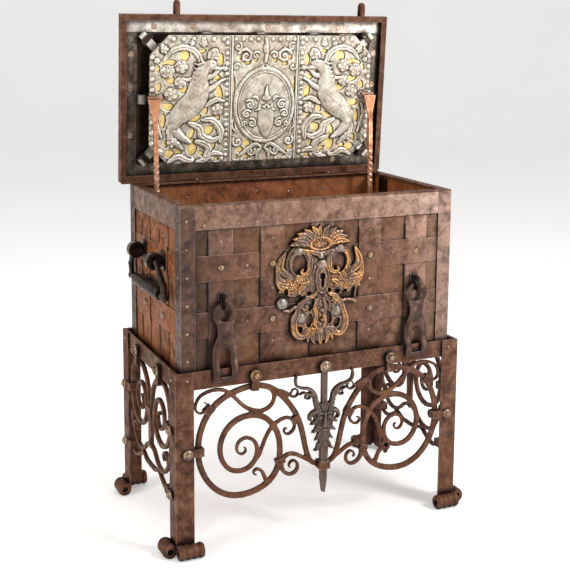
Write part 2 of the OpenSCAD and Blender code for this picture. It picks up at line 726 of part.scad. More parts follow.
// Bail in the wall frame: u along the wall, outward at -y
arm_u = eye_y + eye_t / 2 + handle_r + 3;
bail_drop = 92;
module handle() {
    knee = [arm_u + 44, -eye_out + 5, handle_z - 52];
    low = [arm_u + 46, -eye_out + 8, handle_z - bail_drop + 4];
    both_ways() {
        translate([eye_y - eye_t / 2 - 8, -eye_out, handle_z]) rotate([0, 90, 0])
            cylinder(r = handle_r, h = arm_u - eye_y + eye_t / 2 + 8);
        translate([arm_u, -eye_out, handle_z]) sphere(r = handle_r + 1);
        rod([arm_u, -eye_out, handle_z], knee, handle_r - 0.4);
        translate(knee) sphere(r = handle_r + 1);
        rod(knee, low, handle_r - 0.3);
        translate(low) sphere(r = handle_r + 3);
    }
    translate([-low[0], low[1], low[2]]) rotate([0, 90, 0]) cylinder(r = handle_r, h = 2 * low[0]);
    translate([-112, low[1], low[2]]) rotate([0, 90, 0]) rotate_extrude() polygon(concat([[0, 0]],
        [for (i = [0:56]) [grip_r - 4 + 2.2 * sin(180 * i / 56) + 1.8 * abs(sin(180 * i / 4)), 4 * i]],
        [[0, 224]]));
}
module handle_left() { color(dark_iron) on_left(wx) handle(); }
module handle_right() { color(dark_iron) on_right(wx) handle(); }

/* Stays */

stay_y = cy - 75;
stay_z = rim_z - 95;
stay_x = 351;
stay_lean = 2.5;
stay_pin = 6;
wall_in = wx - plate_t;

module stay_brackets() {
    color(dark_iron) both_ways() difference() {
        union() {
            translate([stay_x + 9, stay_y, stay_z]) rotate([0, 90, 0]) cylinder(r = 14, h = wall_in - stay_x - 9 - seat);
            translate([wall_in - 5, stay_y - 16, stay_z - 22]) cube([5 - seat, 46, rim_z - rim_t - stay_z + 8]);
            translate([stay_x - 14, stay_y, stay_z]) rotate([0, 90, 0]) cylinder(r = stay_pin, h = 30);
            translate([stay_x - 13, stay_y, stay_z]) rotate([0, 90, 0]) cylinder(r = 10, h = 4);
        }
    }
}

// Stay with its pivot at the origin, leaning in and back
module stay_bar() {
    h = stay_t / 2;
    difference() {
        union() {
            translate([-8, 0, 0]) rotate([0, 90, 0]) cylinder(r = 12, h = 16);
            translate([-h, -h, 0]) cube([stay_t, stay_t, 60]);
            translate([0, 0, 59]) linear_extrude(110, twist = 540, slices = 36, segments = 4) square(stay_t - 0.5, center = true);
            translate([-h, -h, 168]) cube([stay_t, stay_t, stay_len - 168 - 70]);
            translate([0, 3, 0]) rotate([90, 0, 0]) linear_extrude(6) polygon([[-h, stay_len - 80],
                [h, stay_len - 80], [9, stay_len - 50], [20, stay_len], [-20, stay_len], [-9, stay_len - 50]]);
        }
        translate([-10, 0, 0]) rotate([0, 90, 0]) cylinder(r = stay_pin + fit, h = 20);
    }
}
module stay_right() {
    color(copper) translate([stay_x, stay_y, stay_z]) rotate([-stay_lean, 0, 0]) stay_bar();
}
module stay_left() { mirror([1, 0, 0]) stay_right(); }

/* Hinges */

knuckle_r = 7.5;
hinge_pin = 4;
leaf_half = 28;
mid_half = 12;

module barrel(x0, x1) {
    translate([x0, hinge_y, hinge_z]) rotate([0, 90, 0]) difference() {
        cylinder(r = knuckle_r, h = x1 - x0);
        translate([0, 0, -1]) cylinder(r = hinge_pin + fit, h = x1 - x0 + 2);
    }
}

// Web between a leaf and its barrel, hollowed for the pin
module barrel_web(x0, x1, z0, z1) {
    difference() {
        translate([x0, hinge_y - knuckle_r + 1, z0]) cube([x1 - x0, 2 * knuckle_r - 2, z1 - z0]);
        translate([x0 - 1, hinge_y, hinge_z]) rotate([0, 90, 0]) cylinder(r = hinge_pin + fit, h = x1 - x0 + 2);
    }
}

module hinge_straps() {
    tongue_z = rim_z - 25;
    color(iron) both_ways() translate([hinge_x, 0, 0]) {
        union() {
            translate([-leaf_half, cy + seat, tongue_z - 58]) cube([2 * leaf_half, 4, 63]);
            translate([-leaf_half, cy + seat, tongue_z]) cube([2 * leaf_half, hinge_back + knuckle_r - 1 - seat, 5]);
            for (s = [0, 1]) mirror([s, 0, 0]) {
                barrel(mid_half + gap, leaf_half);
                barrel_web(mid_half + gap, leaf_half, tongue_z + 4, hinge_z);
            }
        }
        translate([-leaf_half - 3, hinge_y, hinge_z]) rotate([0, 90, 0]) cylinder(r = hinge_pin, h = 2 * leaf_half + 6);
    }
}

/* Lid, drawn shut and turned to the open pose */

module lid_pose() {
    translate([0, hinge_y, hinge_z]) rotate([-lid_open, 0, 0]) translate([0, -hinge_y, -hinge_z]) children();
}

module keyhole(z0, h) {
    translate([0, 0, z0]) cylinder(r = 6.5, h = h);
    translate([-3, 0, z0]) cube([6, 17, h]);
}

module lid_plate() {
    color(iron) lid_pose() difference() {
        translate([-lid_x, -lid_y, lid_z]) cube([2 * lid_x, 2 * lid_y, lid_t]);
        keyhole(lid_z - 1, lid_t + 2);
    }
}

module lid_frame() {
    bar_h = lid_z - rim_z + frame_drop;
    color(iron) lid_pose() translate([0, 0, rim_z - frame_drop]) {
        on_front(lid_y) translate([-lid_x, 0, 0]) cube([2 * lid_x, frame_w, bar_h]);
        on_back(lid_y) translate([-lid_x, 0, 0]) cube([2 * lid_x, frame_w, bar_h]);
        both_ways() on_left(lid_x) translate([-lid_y + frame_w + seat, 0, 0])
            cube([2 * (lid_y - frame_w - seat), frame_w, bar_h]);
    }
}

module lid_liner() {
    lx = lid_x - frame_w - 1;
    ly = lid_y - frame_w - 1;
    color("#8d8274") lid_pose() translate([0, 0, base_z]) {
        on_front(ly) translate([-lx, 0, 0]) cube([2 * lx, liner_w, liner_t]);
        on_back(ly) translate([-lx, 0, 0]) cube([2 * lx, liner_w, liner_t]);
        both_ways() on_left(lx) translate([-ly + liner_w + seat, 0, 0])
            cube([2 * (ly - liner_w - seat), liner_w, liner_t]);
    }
}

lid_top = lid_z + lid_t;
cover_pivot = 30;
module lid_straps() {
    color(iron) lid_pose() difference() {
        translate([0, 0, lid_top]) rotate([-90, 0, 0])
            weave(front_cols, [90, -90], -lid_y + 2, lid_y - 2, lid_x - 2);
        keyhole(lid_top - 1, 8);
    }
}

module lid_rivets() {
    color(dark_iron) lid_pose() {
        // heads on the liner, seen when the lid is open
        for (u = [-330, -210, -90, 30, 150, 270]) for (s = [-1, 1])
            translate([u, s * (lid_y - frame_w - 18), base_z]) rotate([180, 0, 0]) dome(5, 0.3);
        for (v = [-130, -30, 110]) both_ways() translate([-lid_x + frame_w + 17, v, base_z]) rotate([180, 0, 0]) dome(5, 0.3);
        for (u = front_cols) for (v = [-210, 210]) translate([u, v, lid_top + strap_t]) dome(5, 3);
        for (u = front_cols) for (v = [-90, 90]) translate([u, v, lid_top + strap_top]) dome(10, 7);
        // pivot of the keyhole cover
        translate([0, -cover_pivot, lid_top + strap_t]) cylinder(r = 3.5, h = 5);
        translate([0, -cover_pivot, lid_top + strap_t + 4.9]) dome(7, 3);
    }
}

module lid_loops() {
    r = 10;
    bar = 5;
    reach = 27;
    color(iron) lid_pose() for (u = [-264, 345]) translate([u, -lid_y - seat, lid_z - 8]) {
        for (s = [-1, 1]) translate([0, 0, s * r]) rotate([90, 0, 0]) cylinder(r = bar, h = reach);
        translate([0, -reach, 0]) difference() {
            rotate([0, 90, 0]) rotate_extrude() translate([r, 0]) circle(r = bar, $fn = 24);
            translate([-10, 0, -20]) cube([20, 20, 40]);
        }
    }
}

module lid_hinges() {
    color(iron) lid_pose() both_ways() translate([hinge_x, 0, 0]) {
        translate([-leaf_half, lid_y - 106, lid_top + seat]) cube([2 * leaf_half, 106 + hinge_back - over_y - knuckle_r + 1.5, 4]);
        barrel(-mid_half, mid_half);
        barrel_web(-mid_half, mid_half, hinge_z, lid_top + 4.1);
    }
}

module keyhole_cover() {
    color(iron) lid_pose() translate([0, 0, lid_top + strap_t + gap]) difference() {
        union() {
            cylinder(r = 19, h = 4);
            translate([-9, -cover_pivot, 0]) cube([18, cover_pivot, 4]);
            translate([0, -cover_pivot, 0]) cylinder(r = 9, h = 4);
        }
        translate([0, -cover_pivot, -1]) cylinder(r = 3.5 + fit, h = 6);
    }
}

/* Lock: depths count downward from the base when the lid is shut */

bolt_z0 = 6;
bolt_z1 = bolt_z0 + bolt_t;
arm_z0 = 9;
arm_z1 = 21;
hub_r = 16;
swing = 2 * asin(throw / 2 / pin_r);
tip_y = mouth_y - 5;
tip_x = mouth_x - 3;
corner_tip = [mouth_x - 10, mouth_y - 10];
bar_y = 154;
corner_pin_x = 288;
post_at = [for (x = [-300, -110, 110, 300], y = [-95, 95]) [x, y]];

module lock_level(z0, z1) {
    translate([0, 0, base_z - z1]) linear_extrude(z1 - z0) children();
}
module lock_box(x0, x1, y0, y1, z0, z1) {
    translate([x0, y0, base_z - z1]) cube([x1 - x0, y1 - y0, z1 - z0]);
}

module lock_base() {
    color(dark_iron) lid_pose() difference() {
        translate([-cover_w / 2 - 12, -cover_d / 2, base_z]) cube([cover_w + 24, cover_d, liner_t]);
        translate([0, 0, base_z - 1]) cylinder(r = hub_r + fit, h = liner_t + 2);
    }
}

// Guide that runs round a bolt, the bolt moving along X
module guide(x0, x1, half) {
    difference() {
        lock_box(x0, x1, -half - 7, half + 7, 0, bolt_z1 + 6);
        lock_box(x0 - 1, x1 + 1, -half - gap, half + gap, bolt_z0 - gap, bolt_z1 + gap);
    }
}

module lock_guides() {
    color(dark_iron) lid_pose() {
        for (s = [-1, 1]) for (x = [-bolt_x, 0, bolt_x])
            translate([x, 0, 0]) rotate(s * 90) guide(tip_y - 17, tip_y - 3, bolt_w / 2);
        both_ways() guide(tip_x - 34, tip_x - 18, bolt_w / 2);
        both_ways() for (s = [-1, 1])
            translate([corner_tip[0], s * corner_tip[1], 0]) rotate(s * 45) guide(-26, -12, 11);
        for (p = post_at) translate([p[0], p[1], base_z - lock_h + 1.5]) cylinder(r = 6, h = lock_h - 1.5);
    }
}

module thrower() {
    color(steel_grey) lid_pose() difference() {
        union() {
            translate([0, 0, base_z - 8]) cylinder(r = pin_r + 8, h = 8 - gap);
            translate([0, 0, base_z - 8]) cylinder(r = hub_r, h = 8 + liner_t - 0.2);
            translate([0, 0, base_z - arm_z1]) cylinder(r = 11, h = arm_z1 - 7);
            for (a = [0:90:270]) rotate(90 - swing / 2 + a) translate([pin_r, 0, base_z - arm_z1])
                cylinder(r = 4, h = arm_z1 - 7);
        }
        keyhole(base_z - 40, 60);
    }
}

// Slotted end of a bolt arm that moves along X, its pin at (x, y)
module arm_eye(x, y) {
    difference() {
        translate([x - 12, y - 9]) square([24, 18]);
        translate([x - 4.35, y - 6]) square([8.7, 12]);
    }
}

pin_side = pin_r * cos(swing / 2);
pin_off = throw / 2;

module side_bolt() {
    lock_level(arm_z0, arm_z1) {
        arm_eye(-pin_off, -pin_side);
        translate([-pin_off + 11, -pin_side - 6]) square([tip_x - 119 + pin_off, 12]);
        translate([tip_x - 120, -pin_side - 6]) square([12, pin_side + 19]);
    }
    lock_box(tip_x - 120, tip_x, -bolt_w / 2, bolt_w / 2, bolt_z0, bolt_z1);
}
module right_bolt() { color(steel_grey) lid_pose() side_bolt(); }
module left_bolt() { color(steel_grey) lid_pose() rotate(180) side_bolt(); }

// Bolt bar that moves toward -Y, with three bolts and a pin at each end for the corner bolts
module end_bolts() {
    lock_level(arm_z0, arm_z1) {
        translate([-pin_side, pin_off]) rotate(90) arm_eye(0, 0);
        translate([-pin_side - 6, -bar_y]) square([12, bar_y + pin_off - 11]);
        translate([-corner_pin_x - 10, -bar_y - 6]) square([2 * corner_pin_x + 20, 12]);
    }
    for (x = [-bolt_x, 0, bolt_x])
        lock_box(x - bolt_w / 2, x + bolt_w / 2, -tip_y, -bar_y + 6, bolt_z0, bolt_z1);
    for (s = [-1, 1]) translate([s * corner_pin_x, -bar_y, base_z - 31]) cylinder(r = 4.5, h = 31 - arm_z0 - 1);
}
module front_bolts() { color(steel_grey) lid_pose() end_bolts(); }
module rear_bolts() { color(steel_grey) lid_pose() rotate(180) end_bolts(); }

// Corner bolt at +X, +Y that is pulled along by the pin of a bolt bar
module corner_bolt() {
    translate([corner_tip[0], corner_tip[1], 0]) rotate(45) lock_box(-84, 0, -11, 11, bolt_z0, bolt_z1);
    lock_level(22, 31) difference() {
        translate([corner_pin_x - throw - 12, bar_y - 9]) square([throw + 50, 18]);
        translate([corner_pin_x - throw - 5, bar_y - 4.8]) square([throw + 10, 9.6]);
    }
}
module corner_bolt_at(left, front) {
    color(steel_grey) lid_pose() mirror([left, 0, 0]) mirror([0, front, 0]) corner_bolt();
}
module corner_bolt_front_left() { corner_bolt_at(1, 1); }
module corner_bolt_front_right() { corner_bolt_at(0, 1); }
module corner_bolt_rear_left() { corner_bolt_at(1, 0); }
module corner_bolt_rear_right() { corner_bolt_at(0, 0); }

// Outline of the three covers together
module cover_outline(inset) {
    x = cover_w / 2 - inset;
    y = cover_d / 2 - inset;
    c = cover_cut;
    polygon([[-x + c, -y], [x - c, -y], [x, -y + c], [x, y - c], [x - c, y], [-x + c, y], [-x, y - c], [-x, -y + c]]);
}

cover_t = 4;
cover_seam = 110;
relief = 4;
module cover_backing() {
    color(brass) lid_pose() lock_level(lock_h - 1.5, lock_h) cover_outline(3);
}

// Scroll ribs of a side cover, drawn for the right one of 720 x 380 covers, front edge at -Y
function on_cover(p) = [for (q = p) [q[0] * cover_w / 720, q[1] * cover_d / 380, q[2]]];
function rib(p) = [for (q = on_cover(p)) [q[0], q[1]]];
cover_stem = rib([[140, 150], [160, 120], [200, 110], [232, 80], [236, 40], [214, 10], [180, 4],
    [158, 28], [166, 58], [192, 66], [208, 46], [196, 32]]);
cover_tail = rib([[236, 60], [262, 20], [300, -10], [318, -60], [302, -110], [264, -134], [226, -118],
    [218, -80], [244, -58], [270, -70], [268, -94], [250, -96]]);
cover_frond = rib([[140, -150], [170, -112], [176, -64], [160, -26], [140, -22], [128, -38],
    [134, -58], [148, -60]]);
cover_spray = rib([[262, 22], [290, 60], [330, 76], [338, 120], [306, 150], [272, 136], [270, 106], [292, 96]]);
cover_holes = on_cover([[150, 92, 11], [182, 34, 9], [252, 116, 13], [222, 152, 9], [300, 110, 7], [322, 30, 12],
    [284, 36, 8], [340, -20, 8], [292, -44, 10], [246, -26, 12], [204, -28, 9], [146, -94, 9],
    [196, -142, 10], [246, -80, 7], [320, -130, 9], [286, -160, 8], [206, -62, 8], [150, 60, 7]]);

module side_cover_area() {
    intersection() {
        cover_outline(0);
        translate([cover_seam + gap / 2, -cover_d]) square([cover_w, 2 * cover_d]);
    }
}
module side_cover() {
    lock_level(lock_h, lock_h + cover_t) difference() {
        side_cover_area();
        for (h = cover_holes) translate([h[0], h[1]]) circle(r = h[2], $fn = 24);
    }
    lock_level(lock_h + cover_t, lock_h + cover_t + relief) {
        bar_shape(cover_stem, [[0, 16], [1, 6]]);
        bar_shape(cover_tail, [[0, 20], [1, 6]]);
        bar_shape(cover_frond, [[0, 6], [0.4, 15], [0.7, 7], [1, 4]]);
        bar_shape(cover_spray, [[0, 12], [1, 5]]);
    }
}
module cover_right() { color(steel_grey) lid_pose() side_cover(); }
module cover_left() { color(steel_grey) lid_pose() mirror([1, 0, 0]) side_cover(); }

// Oval shape with half axes a and b
module oval(a, b) {
    polygon([for (i = [0:35]) [a * cos(10 * i), b * sin(10 * i)]]);
}
module cover_centre() {
    color(steel_grey) lid_pose() {
        lock_level(lock_h, lock_h + cover_t) difference() {
            translate([-cover_seam + gap / 2, -cover_d / 2]) square([2 * cover_seam - gap, cover_d]);
            for (s = [-1, 1]) for (p = [[86, 150, 9], [58, 166, 7], [90, 112, 8], [92, -112, 9], [64, -152, 10],
                [28, -172, 7], [96, -156, 6]]) translate([s * p[0], p[1]]) circle(r = p[2], $fn = 24);
        }
        lock_level(lock_h + cover_t, lock_h + cover_t + relief) {
            difference() {
                oval(94, 118);
                oval(82, 106);
            }
            oval(58, 78);
            both_ways() bar_shape([[6, -172], [40, -156], [78, -168], [98, -140], [86, -122]], [[0, 6], [0.5, 12], [1, 5]]);
            both_ways() bar_shape([[6, 170], [36, 146], [70, 140], [96, 162], [80, 176]], [[0, 6], [0.5, 12], [1, 5]]);
        }
    }
}

// Where the top of a stay comes on the open lid: distance from the hinge, and depth under it
stay_tip = [stay_y + stay_len * sin(stay_lean) - hinge_y, stay_z + stay_len * cos(stay_lean) - hinge_z];
tip_out = stay_tip[1] * sin(lid_open) - stay_tip[0] * cos(lid_open);
tip_in = -stay_tip[0] * sin(lid_open) - stay_tip[1] * cos(lid_open) + base_z - hinge_z;
ledge_y = hinge_y - tip_out - 1;
module stay_ledges() {
    color(copper) lid_pose() both_ways()
        lock_box(stay_x - 24, stay_x + 14, ledge_y - 6, ledge_y, lock_h + cover_t + seat, tip_in - 2.6);
}

stand_frame();
leg_front_left();
leg_front_right();
leg_rear_left();
leg_rear_right();
front_scroll_left();
front_scroll_right();
side_scroll_left();
side_scroll_right();
scroll_clips();
pendant_ornament();
chest_front();
chest_back();
chest_left();
chest_right();
chest_floor();
rim_band();
rim_flange();
corner_strips();
front_straps();
back_straps();
left_straps();
right_straps();
strap_studs();
chest_rivets();
escutcheon();
hasp_staples();
hasp_left();
hasp_right();
handle_eyes();
handle_left();
handle_right();
stay_brackets();
stay_left();
stay_right();
hinge_straps();
lid_plate();
lid_frame();
lid_liner();
lid_straps();
lid_rivets();
lid_loops();
lid_hinges();
keyhole_cover();
lock_base();
lock_guides();
thrower();
front_bolts();
rear_bolts();
left_bolt();
right_bolt();
corner_bolt_front_left();
corner_bolt_front_right();
corner_bolt_rear_left();
corner_bolt_rear_right();
cover_backing();
cover_left();
cover_centre();
cover_right();
stay_ledges();
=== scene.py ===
import json
import math

import bmesh
import bpy
import numpy as np
from mathutils import Matrix, Vector


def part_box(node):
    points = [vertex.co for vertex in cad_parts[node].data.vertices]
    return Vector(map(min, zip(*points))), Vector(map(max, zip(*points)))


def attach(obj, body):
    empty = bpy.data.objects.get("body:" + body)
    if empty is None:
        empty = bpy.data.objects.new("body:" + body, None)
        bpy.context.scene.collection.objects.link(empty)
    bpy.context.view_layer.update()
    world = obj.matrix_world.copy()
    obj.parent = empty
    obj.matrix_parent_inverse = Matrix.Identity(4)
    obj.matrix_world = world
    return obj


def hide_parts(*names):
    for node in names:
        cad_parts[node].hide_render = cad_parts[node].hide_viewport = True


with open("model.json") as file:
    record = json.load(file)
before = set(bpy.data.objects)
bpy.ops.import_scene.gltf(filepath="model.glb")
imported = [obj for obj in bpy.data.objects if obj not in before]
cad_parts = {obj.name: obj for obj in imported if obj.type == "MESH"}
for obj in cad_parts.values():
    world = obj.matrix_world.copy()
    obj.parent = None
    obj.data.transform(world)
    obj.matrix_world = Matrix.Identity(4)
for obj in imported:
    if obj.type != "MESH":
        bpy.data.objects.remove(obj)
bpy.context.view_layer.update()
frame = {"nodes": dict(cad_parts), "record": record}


# Studio
# The camera stands off the front left corner, a little above the lid's hinge, and looks slightly down.
# Its frame is shifted down onto the object, and the narrow sensor width leaves room for that shift in
# other views. One pale sweep is floor and backdrop, and four soft lamps light the piece.
FOCAL_PX, FRAME_PX, CENTRE_PX = 1090.5, 570, (285.0, 188.0)
YAW, PITCH, ROLL = 0.4239, 0.1473, 0.0069
EYE, SENSOR_HIGH, SENSOR_WIDE = (-1.2977, -2.8477, 1.4045), 36, 29
FLOOR_NEAR, FLOOR_FAR, FLOOR_WIDE, FLOOR_HIGH, FLOOR_BEND = -30.0, 14.0, 40, 9.0, 4.0
ROOM_LIGHT, FLOOR_GLOW = 0.56, 0.27


def add_object(name, data):
    """A new object in the scene."""
    made = bpy.data.objects.new(name, data)
    bpy.context.scene.collection.objects.link(made)
    return made


def place_camera():
    """Turned by yaw, pitch and roll, with the sight line off the middle of the frame."""
    ahead = Vector((math.sin(YAW) * math.cos(PITCH), math.cos(YAW) * math.cos(PITCH), -math.sin(PITCH)))
    right = Vector((math.cos(YAW), -math.sin(YAW), 0))
    up = right.cross(ahead)
    turned = right * math.cos(ROLL) + up * math.sin(ROLL)
    raised = up * math.cos(ROLL) - right * math.sin(ROLL)
    data = bpy.data.cameras.new("camera")
    data.sensor_fit, data.sensor_height, data.sensor_width = "VERTICAL", SENSOR_HIGH, SENSOR_WIDE
    data.lens = FOCAL_PX / FRAME_PX * SENSOR_HIGH
    data.shift_x = (FRAME_PX / 2 - CENTRE_PX[0]) / FRAME_PX
    data.shift_y = (CENTRE_PX[1] - FRAME_PX / 2) / FRAME_PX
    data.clip_end = 200
    camera = add_object("camera", data)
    turn = Matrix((turned, raised, -ahead)).transposed().to_4x4()
    camera.matrix_world = Matrix.Translation(EYE) @ turn
    bpy.context.scene.camera = camera


def area_light(name, place, aim, size, watts, tint=(1, 1, 1)):
    """A round soft lamp, aimed at a point of the object."""
    data = bpy.data.lights.new(name, "AREA")
    data.shape, data.size, data.energy, data.color = "DISK", size, watts, tint
    light = add_object(name, data)
    light.location = place
    light.rotation_euler = (Vector(aim) - Vector(place)).to_track_quat("-Z", "Y").to_euler()


def link(tree, a, b):
    """Joins an output to an input."""
    tree.links.new(a, b)


def node(tree, kind, **values):
    """A new node; values set its sockets, or else its own settings."""
    made = tree.nodes.new(kind)
    for key, value in values.items():
        if key in made.inputs:
            made.inputs[key].default_value = value
        else:
            setattr(made, key, value)
    return made


def ramp(tree, factor, stops):
    """Blends tones over a mask; stops are (place, tone)."""
    made = node(tree, "ShaderNodeValToRGB")
    points = made.color_ramp.elements
    while len(points) < len(stops):
        points.new(0.5)
    for point, (place, tone) in zip(points, stops):
        point.position = place
        point.color = (*tone, 1)
    link(tree, factor, made.inputs["Fac"])
    return made.outputs["Color"]


def math_node(tree, operation, a, b=0.0, clamp=False):
    """One sum; a and b are numbers or outputs."""
    made = node(tree, "ShaderNodeMath", operation=operation, use_clamp=clamp)
    for socket, value in zip(made.inputs, (a, b)):
        if isinstance(value, (int, float)):
            socket.default_value = value
        else:
            link(tree, value, socket)
    return made.outputs["Value"]


def new_material(name, metallic=0.0, specular=0.5):
    """An empty material with its tree and its shader."""
    made = bpy.data.materials.new(name)
    made.use_nodes = True
    tree = made.node_tree
    shader = tree.nodes["Principled BSDF"]
    shader.inputs["Metallic"].default_value = metallic
    shader.inputs["Specular IOR Level"].default_value = specular
    return made, tree, shader


def floor_material():
    """Matt and nearly white. It glows a little to the eye, but throws no light of its own on the iron."""
    made, tree, shader = new_material("pale_floor", 0.0, 0.2)
    cloud = node(tree, "ShaderNodeTexNoise", Scale=0.8, Detail=3.0)
    link(tree, node(tree, "ShaderNodeTexCoord").outputs["Object"], cloud.inputs["Vector"])
    link(tree, ramp(tree, cloud.outputs["Fac"], [(0.3, (0.86, 0.86, 0.855)), (0.7, (0.89, 0.89, 0.885))]),
         shader.inputs["Base Color"])
    shader.inputs["Roughness"].default_value = 0.85
    shader.inputs["Emission Color"].default_value = (1, 1, 1, 1)
    path = node(tree, "ShaderNodeLightPath")
    seen = math_node(tree, "ADD", path.outputs["Is Camera Ray"], path.outputs["Is Glossy Ray"])
    seen = math_node(tree, "ADD", seen, path.outputs["Is Transmission Ray"], clamp=True)
    link(tree, math_node(tree, "MULTIPLY", seen, FLOOR_GLOW), shader.inputs["Emission Strength"])
    return made


def mesh_object(name, verts, faces=(), edges=(), smooth=False):
    """An object of plain vertices, faces or single edges, in metres."""
    mesh = bpy.data.meshes.new(name)
    mesh.from_pydata([tuple(v) for v in verts], edges, faces)
    mesh.polygons.foreach_set("use_smooth", [smooth] * len(mesh.polygons))
    mesh.update()
    return add_object(name, mesh)


def sweep_floor():
    """Pale floor that bends up into a backdrop behind the object."""
    foot = FLOOR_FAR - FLOOR_BEND
    line = [(FLOOR_NEAR, 0.0), (foot, 0.0)]
    line += [(foot + FLOOR_BEND * math.sin(a), FLOOR_BEND - FLOOR_BEND * math.cos(a))
             for a in np.linspace(0.1, math.pi / 2, 14)]
    line += [(FLOOR_FAR, FLOOR_HIGH)]
    verts = [(x, y, z) for y, z in line for x in (-FLOOR_WIDE, FLOOR_WIDE)]
    faces = [(2 * i, 2 * i + 1, 2 * i + 3, 2 * i + 2) for i in range(len(line) - 1)]
    piece = mesh_object("floor", verts, faces, smooth=True)
    piece.matrix_world = Matrix.Rotation(-YAW, 4, "Z")
    piece.data.materials.append(floor_material())


place_camera()
sweep_floor()
area_light("key", (2.4, -3.2, 3.3), (0, 0, 0.9), 1.3, 150, (1.0, 0.985, 0.965))
area_light("fill", (-4.2, -0.9, 1.9), (0, 0, 0.7), 2.2, 96, (1.0, 0.9, 0.8))
area_light("sheen", (2.9, -4.2, 0.9), (0.25, 0, 0.8), 1.0, 56, (1.0, 0.97, 0.94))
area_light("top", (0.2, 0.4, 4.2), (0, 0, 0.9), 2.0, 45)
world = bpy.data.worlds.new("studio")
bpy.context.scene.world = world
world.use_nodes = True
world.node_tree.nodes["Background"].inputs["Color"].default_value = (1.0, 1.0, 1.0, 1)
world.node_tree.nodes["Background"].inputs["Strength"].default_value = ROOM_LIGHT
bpy.context.scene.view_settings.view_transform = "Standard"


# Stand frame and legs
# Four rails and four legs of brown angle iron, riveted at the corners. The flanges of each leg are rolled
# outwards into scroll feet. One node group holds the masks of forged metal: mottling, patches, grain, edges
# that are worn and carry a painted highlight, and painted shade in the corners. Every metal below colours
# them in its own way.
nodes = frame["nodes"]
SAME_PLACE = 2e-6


def mix(tree, factor, a, b, blend="MIX"):
    """Lays tone b over tone a by a mask."""
    made = node(tree, "ShaderNodeMix", data_type="RGBA", blend_type=blend)
    for socket, value in ((made.inputs["Factor"], factor), (made.inputs[6], a), (made.inputs[7], b)):
        if isinstance(value, (int, float)):
            socket.default_value = value
        elif isinstance(value, tuple):
            socket.default_value = (*value, 1)
        else:
            link(tree, value, socket)
    return made.outputs[2]


def stretch(tree, value, low, high, to_low=0.0, to_high=1.0):
    """Spreads the part of a mask between low and high over a new range."""
    made = node(tree, "ShaderNodeMapRange", interpolation_type="SMOOTHSTEP")
    for key, number in (("From Min", low), ("From Max", high), ("To Min", to_low), ("To Max", to_high)):
        made.inputs[key].default_value = number
    link(tree, value, made.inputs["Value"])
    return made.outputs["Result"]


def forged_group():
    """Noise for the hammered skin, a bevel that finds the edges and occlusion that finds the corners for
    painted shade.
    """
    tree = bpy.data.node_groups.new("forged_masks", "ShaderNodeTree")
    for name in ("Mottle", "Patch", "Grain", "Edge", "Crevice", "Height"):
        tree.interface.new_socket(name, in_out="OUTPUT", socket_type="NodeSocketFloat")
    out = node(tree, "NodeGroupOutput")
    coords = node(tree, "ShaderNodeTexCoord").outputs["Object"]

    def noise(scale, detail, rough, distortion=0.0):
        made = node(tree, "ShaderNodeTexNoise", Scale=scale, Detail=detail, Roughness=rough,
                    Distortion=distortion)
        link(tree, coords, made.inputs["Vector"])
        return made.outputs["Fac"]

    mottle = stretch(tree, noise(38, 8, 0.7, 0.3), 0.28, 0.72)
    patch = stretch(tree, noise(7, 6, 0.66, 0.6), 0.42, 0.62)
    grain = stretch(tree, noise(210, 4, 0.65), 0.25, 0.75)
    cells = node(tree, "ShaderNodeTexVoronoi", feature="SMOOTH_F1", Scale=62.0, Smoothness=0.6)
    link(tree, coords, cells.inputs["Vector"])
    dents = stretch(tree, cells.outputs["Distance"], 0.1, 0.75)
    bevel = node(tree, "ShaderNodeBevel", samples=4, Radius=0.0022)
    normal = node(tree, "ShaderNodeNewGeometry").outputs["Normal"]
    dot = node(tree, "ShaderNodeVectorMath", operation="DOT_PRODUCT")
    link(tree, bevel.outputs["Normal"], dot.inputs[0])
    link(tree, normal, dot.inputs[1])
    # Edge mask: worn bright edges, which also serve as a painted highlight on rounded edges.
    edge = math_node(tree, "MULTIPLY", stretch(tree, dot.outputs["Value"], 0.995, 0.86),
                     stretch(tree, mottle, 0.0, 0.6, 0.25, 1.0))
    # Occlusion mask: the metals below darken by it, as painted shade in corners, gaps and slots.
    hidden = node(tree, "ShaderNodeAmbientOcclusion", samples=6, Distance=0.02)
    corner_shade = stretch(tree, hidden.outputs["AO"], 0.97, 0.56)
    height = math_node(tree, "ADD", math_node(tree, "MULTIPLY", dents, 0.6),
                       math_node(tree, "MULTIPLY", grain, 0.25))
    height = math_node(tree, "ADD", height, math_node(tree, "MULTIPLY", mottle, 0.5))
    for name, value in (("Mottle", mottle), ("Patch", patch), ("Grain", grain), ("Edge", edge),
                        ("Crevice", corner_shade), ("Height", height)):
        link(tree, value, out.inputs[name])
    return tree


